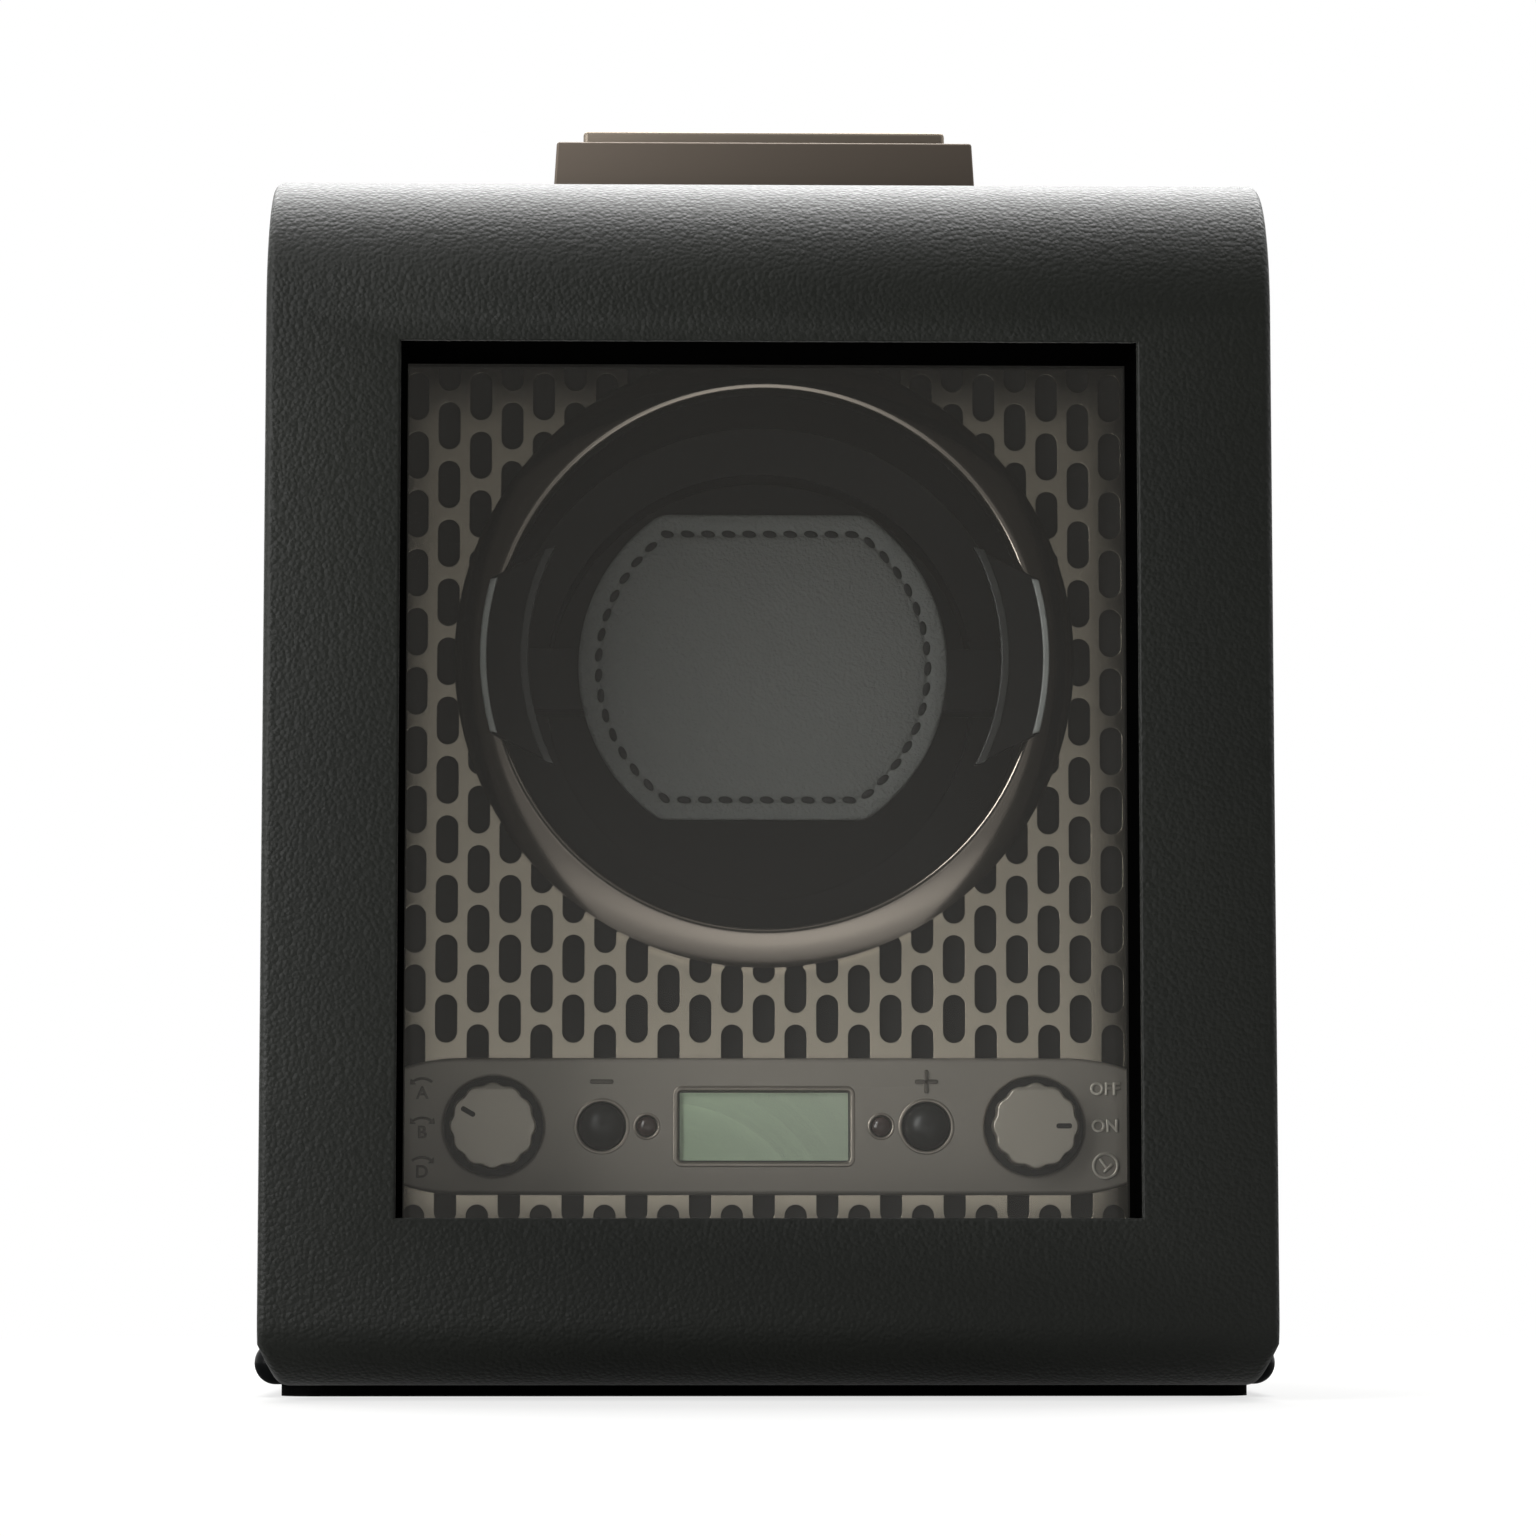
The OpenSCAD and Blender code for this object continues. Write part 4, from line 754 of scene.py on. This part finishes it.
# Satin plastic stays almost black. The rim is painted mid grey and the lip dark grey, as painted
# highlights, and both are glossy, so they show as thin grey lines.
wing_plastic = surface("black_satin_plastic", "050505", rough=0.5, gloss=0.15, marks=12)
highlight_rim_plastic = surface("grey_plastic_painted_highlight", "7c7e7c", rough=0.25, gloss=0.5)
highlight_lip_plastic = surface("dark_plastic_painted_highlight", "242524", rough=0.25, gloss=0.5)
# The parts of a wing: its material, its outer and its inner arc, each as a radius, a reach in degrees and a
# count of steps, and the depths at which it starts and ends.
strips = [
    ("_plate", wing_plastic, (wing_out, 15.9, 24), (wing_in, 27.8, 36), 0.4, 2.4),
    ("_rim", highlight_rim_plastic, (wing_out, 15.6, 24), (wing_out - 1.2, 16.3, 24), 0, 1.5),
    ("_lip", highlight_lip_plastic, (wing_in + 1.6, 26, 24), (wing_in, 27.6, 24), 0, 1.5)]
front = depth_of(low.y)
for side, where in ((-1, "left"), (1, "right")):
    for ending, plastic, outside, inside, start, end in strips:
        r, reach_up, steps = outside
        rim = arc(0, 0, r, -reach_up, reach_up, steps)
        r, reach_up, steps = inside
        rim += arc(0, 0, r, reach_up, -reach_up, steps)
        loop = [(side * x, z + drum_centre.z / MM) for x, z in rim]
        part = plate("cuff_wing_" + where + ending, [loop], front + start, front + end, edge=0.3)
        smooth(part, 45, flat_faces=True)
        finish(part, plastic, "cuff")
for side, where in ((-1, "left"), (1, "right")):
    leg = new_box("cuff_leg_" + where,
                  Vector((side * leg_x, low.y + leg_start, drum_centre.z)) - leg_half,
                  Vector((side * leg_x, high.y, drum_centre.z)) + leg_half)
    soften(leg, leg_edge)
    smooth(leg, 45)
    finish(leg, wing_plastic, "cuff")
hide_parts("cuff_wings")


# ---- Control panel: a moulded plate, painted warm grey, with soft edges, two round wells for the knobs,
# holes for the buttons and lights, and an opening for the display. Behind it lies its back, painted dark
# as painted shade in the wells and holes.
def ring(x, z, r, steps=48):
    """Points of a circle."""
    return arc(x, z, r, 0, 360 - 360 / steps, steps - 1)


def rounded_rectangle(x, z, w, h, r, steps=8):
    """Points of a rectangle with round corners."""
    points = []
    for k, (sx, sz) in enumerate(((1, 1), (-1, 1), (-1, -1), (1, -1))):
        points += arc(x + sx * (w / 2 - r), z + sz * (h / 2 - r), r, 90 * k, 90 * k + 90, steps)
    return points


low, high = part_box("control_panel")
panel_z = 49.4
panel_half = 12.7
panel_w = high.x / MM
panel_front = depth_of(low.y)
face_back = 51
shoulder_x = 56
shoulder_r = 36
end_angle = math.degrees(math.acos((panel_w - shoulder_x) / shoulder_r))
quarter = arc(shoulder_x, panel_half - shoulder_r, shoulder_r, end_angle, 90, 16)
rim = [(x, panel_z + z) for x, z in quarter]
rim += [(-x, panel_z + z) for x, z in reversed(quarter)]
rim += [(-x, panel_z - z) for x, z in quarter]
rim += [(x, panel_z - z) for x, z in reversed(quarter)]
knob_x = 50.3
button_x = 30.2
light_x = 21.8
button_hole_r = 4.55
light_hole_r = 1.95
well_r = 9.2
bore_r = 3.6
holes = [rounded_rectangle(0, panel_z, 31.8, 13, 0.9)]
for side in (-1, 1):
    holes.append(ring(side * button_x, panel_z, button_hole_r))
    holes.append(ring(side * light_x, panel_z, light_hole_r))
wells = [ring(side * knob_x, panel_z, well_r, 72) for side in (-1, 1)]
bores = [ring(side * knob_x, panel_z, bore_r) for side in (-1, 1)]
# Metal flakes in the satin paint give it a warm soft glow. The wells are painted dark, as painted shade
# round the knobs.
panel_paint = surface("warm_grey_satin_paint", "8b857d", metal=0.6, rough=0.44, grain=(0.25, 0.003),
                      marks=14)
panel_face = plate("control_panel_face", [rim] + holes + wells, panel_front, face_back, edge=0.7)
smooth(panel_face, 50, flat_faces=True)
finish(panel_face, panel_paint, "case", ["control_panel"])
panel_back = plate("control_panel_back", [rim] + holes + bores, face_back - 0.1, face_back + 1, edge=0.1)
pointer_and_shade_paint = surface("dark_pointer_paint_and_painted_shade", "1c1b1a", rough=0.5, gloss=0.3)
finish(panel_back, pointer_and_shade_paint, "case")

# Each opening has a narrow rounded lip, painted paler and glossier than the panel as a painted highlight,
# so it shines as a thin pale line.
highlight_lip_paint = surface("painted_highlight_lip", "978f85", metal=0.9, rough=0.28)
lips = [("display_lip", rounded_rectangle(0, panel_z, 34, 15.2, 1.7),
         rounded_rectangle(0, panel_z, 32, 13.2, 0.7))]
round_lips = (("button_lip", button_x, 5.3, 4.5), ("light_lip", light_x, 2.6, light_hole_r))
for side, where in ((-1, "_left"), (1, "_right")):
    for name, x, outer, inner in round_lips:
        lips.append((name + where, ring(side * x, panel_z, outer), ring(side * x, panel_z, inner)))
for name, outer, inner in lips:
    lip = plate(name, [outer, inner], panel_front - 0.1, panel_front + 2, edge=0.3)
    smooth(lip, 50)
    finish(lip, highlight_lip_paint, "case")


# ---- Signs on the panel: they are raised by less than half a millimetre, in the panel's own paint. Those
# at the right end are painted paler as a painted highlight, and the others darker as painted shade.
def sign(group, loops):
    """A flat raised sign, from loops of points in mm."""
    group.append(plate("sign", loops, panel_front - 0.4, panel_front + 0.2, edge=0.12))


def bar(x, z, w, h, turn=0):
    """A small bar of a sign, turned about its middle."""
    c, s = math.cos(math.radians(turn)), math.sin(math.radians(turn))
    rim = rounded_rectangle(0, 0, w, h, min(w, h) / 2.2, 3)
    return [(x + px * c - pz * s, z + px * s + pz * c) for px, pz in rim]


def word(group, text, x, z, size=3.2):
    """A raised word, with its size in mm."""
    data = bpy.data.curves.new(text, "FONT")
    data.body = text
    data.size = size * MM
    data.align_x = "CENTER"
    data.align_y = "CENTER"
    data.extrude = 0.16 * MM
    data.bevel_depth = 0.09 * MM
    data.bevel_resolution = 2
    piece = bpy.data.objects.new("sign", data)
    bpy.context.collection.objects.link(piece)
    group.append(stand_up(piece, x, panel_front - 0.15, z))


signs = []
words = []
mark_z = panel_z + 8.3
mark_x = 63.5
step_z = 7.3
bar_l = 4.4
bar_w = 0.8
sign(signs, [bar(-button_x, mark_z, bar_l, bar_w)])
sign(signs, [bar(button_x, mark_z, bar_l, bar_w)])
sign(signs, [bar(button_x, mark_z, bar_w, bar_l)])
word(words, "OFF", mark_x, panel_z + 6.9)
word(words, "ON", mark_x, panel_z)
sign(words, [ring(mark_x, panel_z - step_z, 2.5), ring(mark_x, panel_z - step_z, 2.0)])
sign(words, [bar(mark_x - 0.3, panel_z - 7.0, 2.6, 0.5, 125)])
sign(words, [bar(mark_x + 0.5, panel_z - 7.7, 2.2, 0.5, 45)])
for letter, up, heads in (("A", step_z, (-1,)), ("B", 0, (-1, 1)), ("D", -step_z, (1,))):
    z = panel_z + up
    sign(signs, [arc(-mark_x, z - 1.3, 3.1, 50, 130, 12) + arc(-mark_x, z - 1.3, 2.6, 130, 50, 12)])
    for way in heads:
        tip = -mark_x + way * 2.3
        sign(signs, [[(tip, z + 0.4), (tip - way * 1.2, z + 0.45), (tip - way * 0.1, z + 1.6)]])
    word(signs, letter, -mark_x, z - 1.2)
# The words and the sign at the right end are painted paler as a painted highlight, the other signs darker
# as painted shade.
painted_highlight_marks = surface("satin_paint_painted_highlight", "cfc9be", metal=0.75, rough=0.3)
painted_shade_marks = surface("shaded_satin_paint", "5c5751", metal=0.75, rough=0.4)
for name, chosen, paint in (("panel_words", words, painted_highlight_marks), ("panel_signs", signs, painted_shade_marks)):
    group = joined(name, chosen)
    smooth(group, 50)
    finish(group, paint, "case")

# ---- Knobs: moulded, and painted a little paler than the panel, with twelve shallow scallops round the rim
# and a short dark mark as the pointer. Each is pushed on the shaft of its rotary switch.
#
# Metal flakes in the satin paint give each scallop a soft light side and a dark side.
scallops = 12
knob_r = 8.0
scallop_depth = 0.42
knob_l = 5.6
pointer_r = 5.2
knob_paint = surface("knob_satin_paint", "a9a297", metal=0.7, rough=0.35, grain=(0.25, 0.003), marks=8)
for side, pointer, body in ((-1, 150, "left_knob"), (1, 0, "right_knob")):
    low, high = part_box(body)
    x = side * knob_x
    edge_points = []
    for degrees in range(0, 360, 2):
        a = math.radians(degrees)
        scallop = 0.5 + 0.5 * math.cos(scallops * (a - math.radians(15)))
        r = knob_r - scallop_depth * scallop ** 1.4
        edge_points.append((x + r * math.cos(a), panel_z + r * math.sin(a)))
    front = depth_of(low.y)
    knob = plate(body + "_cap", [edge_points], front, front + knob_l, edge=0.45)
    smooth(knob, 50, flat_faces=True)
    finish(knob, knob_paint, body, [body])
    c, s = math.cos(math.radians(pointer)), math.sin(math.radians(pointer))
    slot = [(x + px * c - pz * s, panel_z + px * s + pz * c)
            for px, pz in rounded_rectangle(pointer_r, 0, 2.9, 0.95, 0.4, 4)]
    # The pointer is a thin plate of the same dark paint.
    mark = plate(body + "_pointer", [slot], front - 0.03, front + 0.4, edge=0.02)
    finish(mark, pointer_and_shade_paint, body)

# ---- Buttons, lights and display: black domed buttons of soft plastic on push switches, small smoked
# lights, and a grey-green liquid crystal display behind a clear window, all joined to a circuit board.
dome_steps = [(0, 0), (1.1, 0.12), (2.1, 0.45), (3.0, 1.0), (3.7, 1.75), (4.15, 2.6), (4.3, 3.6),
              (4.3, 5.3), (0, 5.3)]
# Soft plastic with a fine grain has one broad dull highlight, and smoked plastic a small sharp one.
soft_plastic = surface("black_soft_plastic", "1a1b1b", rough=0.35, gloss=0.4, grain=(0.3, 0.003))
for side, body in ((-1, "minus_button"), (1, "plus_button")):
    low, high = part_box(body)
    front = depth_of(low.y)
    dome = [(r, front + d) for r, d in dome_steps]
    button = turned(body + "_cap", dome, at(side * button_x, 0, panel_z), steps=64)
    smooth(button, 60)
    finish(button, soft_plastic, body, [body])
smoked = surface("smoked_clear_plastic", "3a2f2c", rough=0.15, gloss=0.5)
dress(smoked, "indicator_lights")

# The display's satin reflector is a pale grey-green, painted a little paler to the right as painted light.
lcd = bpy.data.materials.new("grey_green_display")
lcd.use_nodes = True
tree = lcd.node_tree
skin = tree.nodes["Principled BSDF"]
spot = add(tree, "ShaderNodeTexCoord", {}).outputs["Object"]
across = add(tree, "ShaderNodeSeparateXYZ", {0: spot}).outputs["X"]
fade = add(tree, "ShaderNodeMapRange", {"Value": across, "From Min": -16 * MM, "From Max": 16 * MM,
                                        "To Min": 0, "To Max": 1})
tone = add(tree, "ShaderNodeMix", {"Factor": fade, FIRST: linear("e8fadc"), SECOND: linear("f4ffe8")},
           data_type="RGBA")
tree.links.new(tone.outputs[BLEND], skin.inputs["Base Color"])
skin.inputs["Roughness"].default_value = 0.5
skin.inputs["Metallic"].default_value = 0.3
dress(lcd, "lcd_screen")
# Clear plastic mirrors only at a glance.
clear = bpy.data.materials.new("clear_window_plastic")
clear.use_nodes = True
tree = clear.node_tree
tree.nodes.clear()
through = add(tree, "ShaderNodeBsdfTransparent", {"Color": (0.96, 0.97, 0.96, 1)})
mirror = add(tree, "ShaderNodeBsdfGlossy", {"Roughness": 0.05, "Color": white})
glance = add(tree, "ShaderNodeFresnel", {"IOR": 1.3})
both = add(tree, "ShaderNodeMixShader", {0: glance, 1: through, 2: mirror})
add(tree, "ShaderNodeOutputMaterial", {0: both})
dress(clear, "lcd_window")
dress(moulded, "lcd_module", "rotary_switches", "push_switches")
# Solder mask is green and shiny.
board_green = surface("green_circuit_board", "1d4a2c", rough=0.4, gloss=0.5, marks=3)
dress(board_green, "circuit_board")
dress(bright_steel, "board_screws")

# ---- Drive: two steel plates on posts, a white moulded gear on the drum's shaft, and a small geared motor
# with a brass pinion below it.
#
# Zinc plating is pale and cloudy, moulded acetal a waxy white, and turned brass warm and bright.
sheet_steel = surface("zinc_plated_sheet", "9a9c9c", metal=1, rough=0.35, marks=8)
white_gear = surface("white_acetal", "d8d5cb", rough=0.45, gloss=0.4)
brass = surface("turned_brass", "b89a5a", metal=1, rough=0.3, marks=3)
dress(sheet_steel, "gear_plates")
dress(bright_steel, "plate_posts", "gear_motor")
dress(dark_steel, "plate_screws")
dress(white_gear, "drum_gear")
dress(brass, "drum_bushes", "motor_pinion")

# ---- Rear: a panel with textured black paint, screwed to the battens. It holds the battery compartment
# with two cells and a hinged cover, and above it the moulded power inlet.
#
# Textured paint shows a fine even pimple, and the steel of the cells a warm soft sheen.
back_paint = surface("black_textured_panel", "101010", rough=0.6, gloss=0.3, grain=(0.5, 0.03))
dress(back_paint, "back_panel")
dress(moulded, "battery_holder", "battery_cover", "power_inlet")
cell_wrap = surface("brushed_cell_steel", "8f8878", metal=1, rough=0.35)
dress(cell_wrap, "battery_cells")
dress(bright_steel, "battery_contacts")
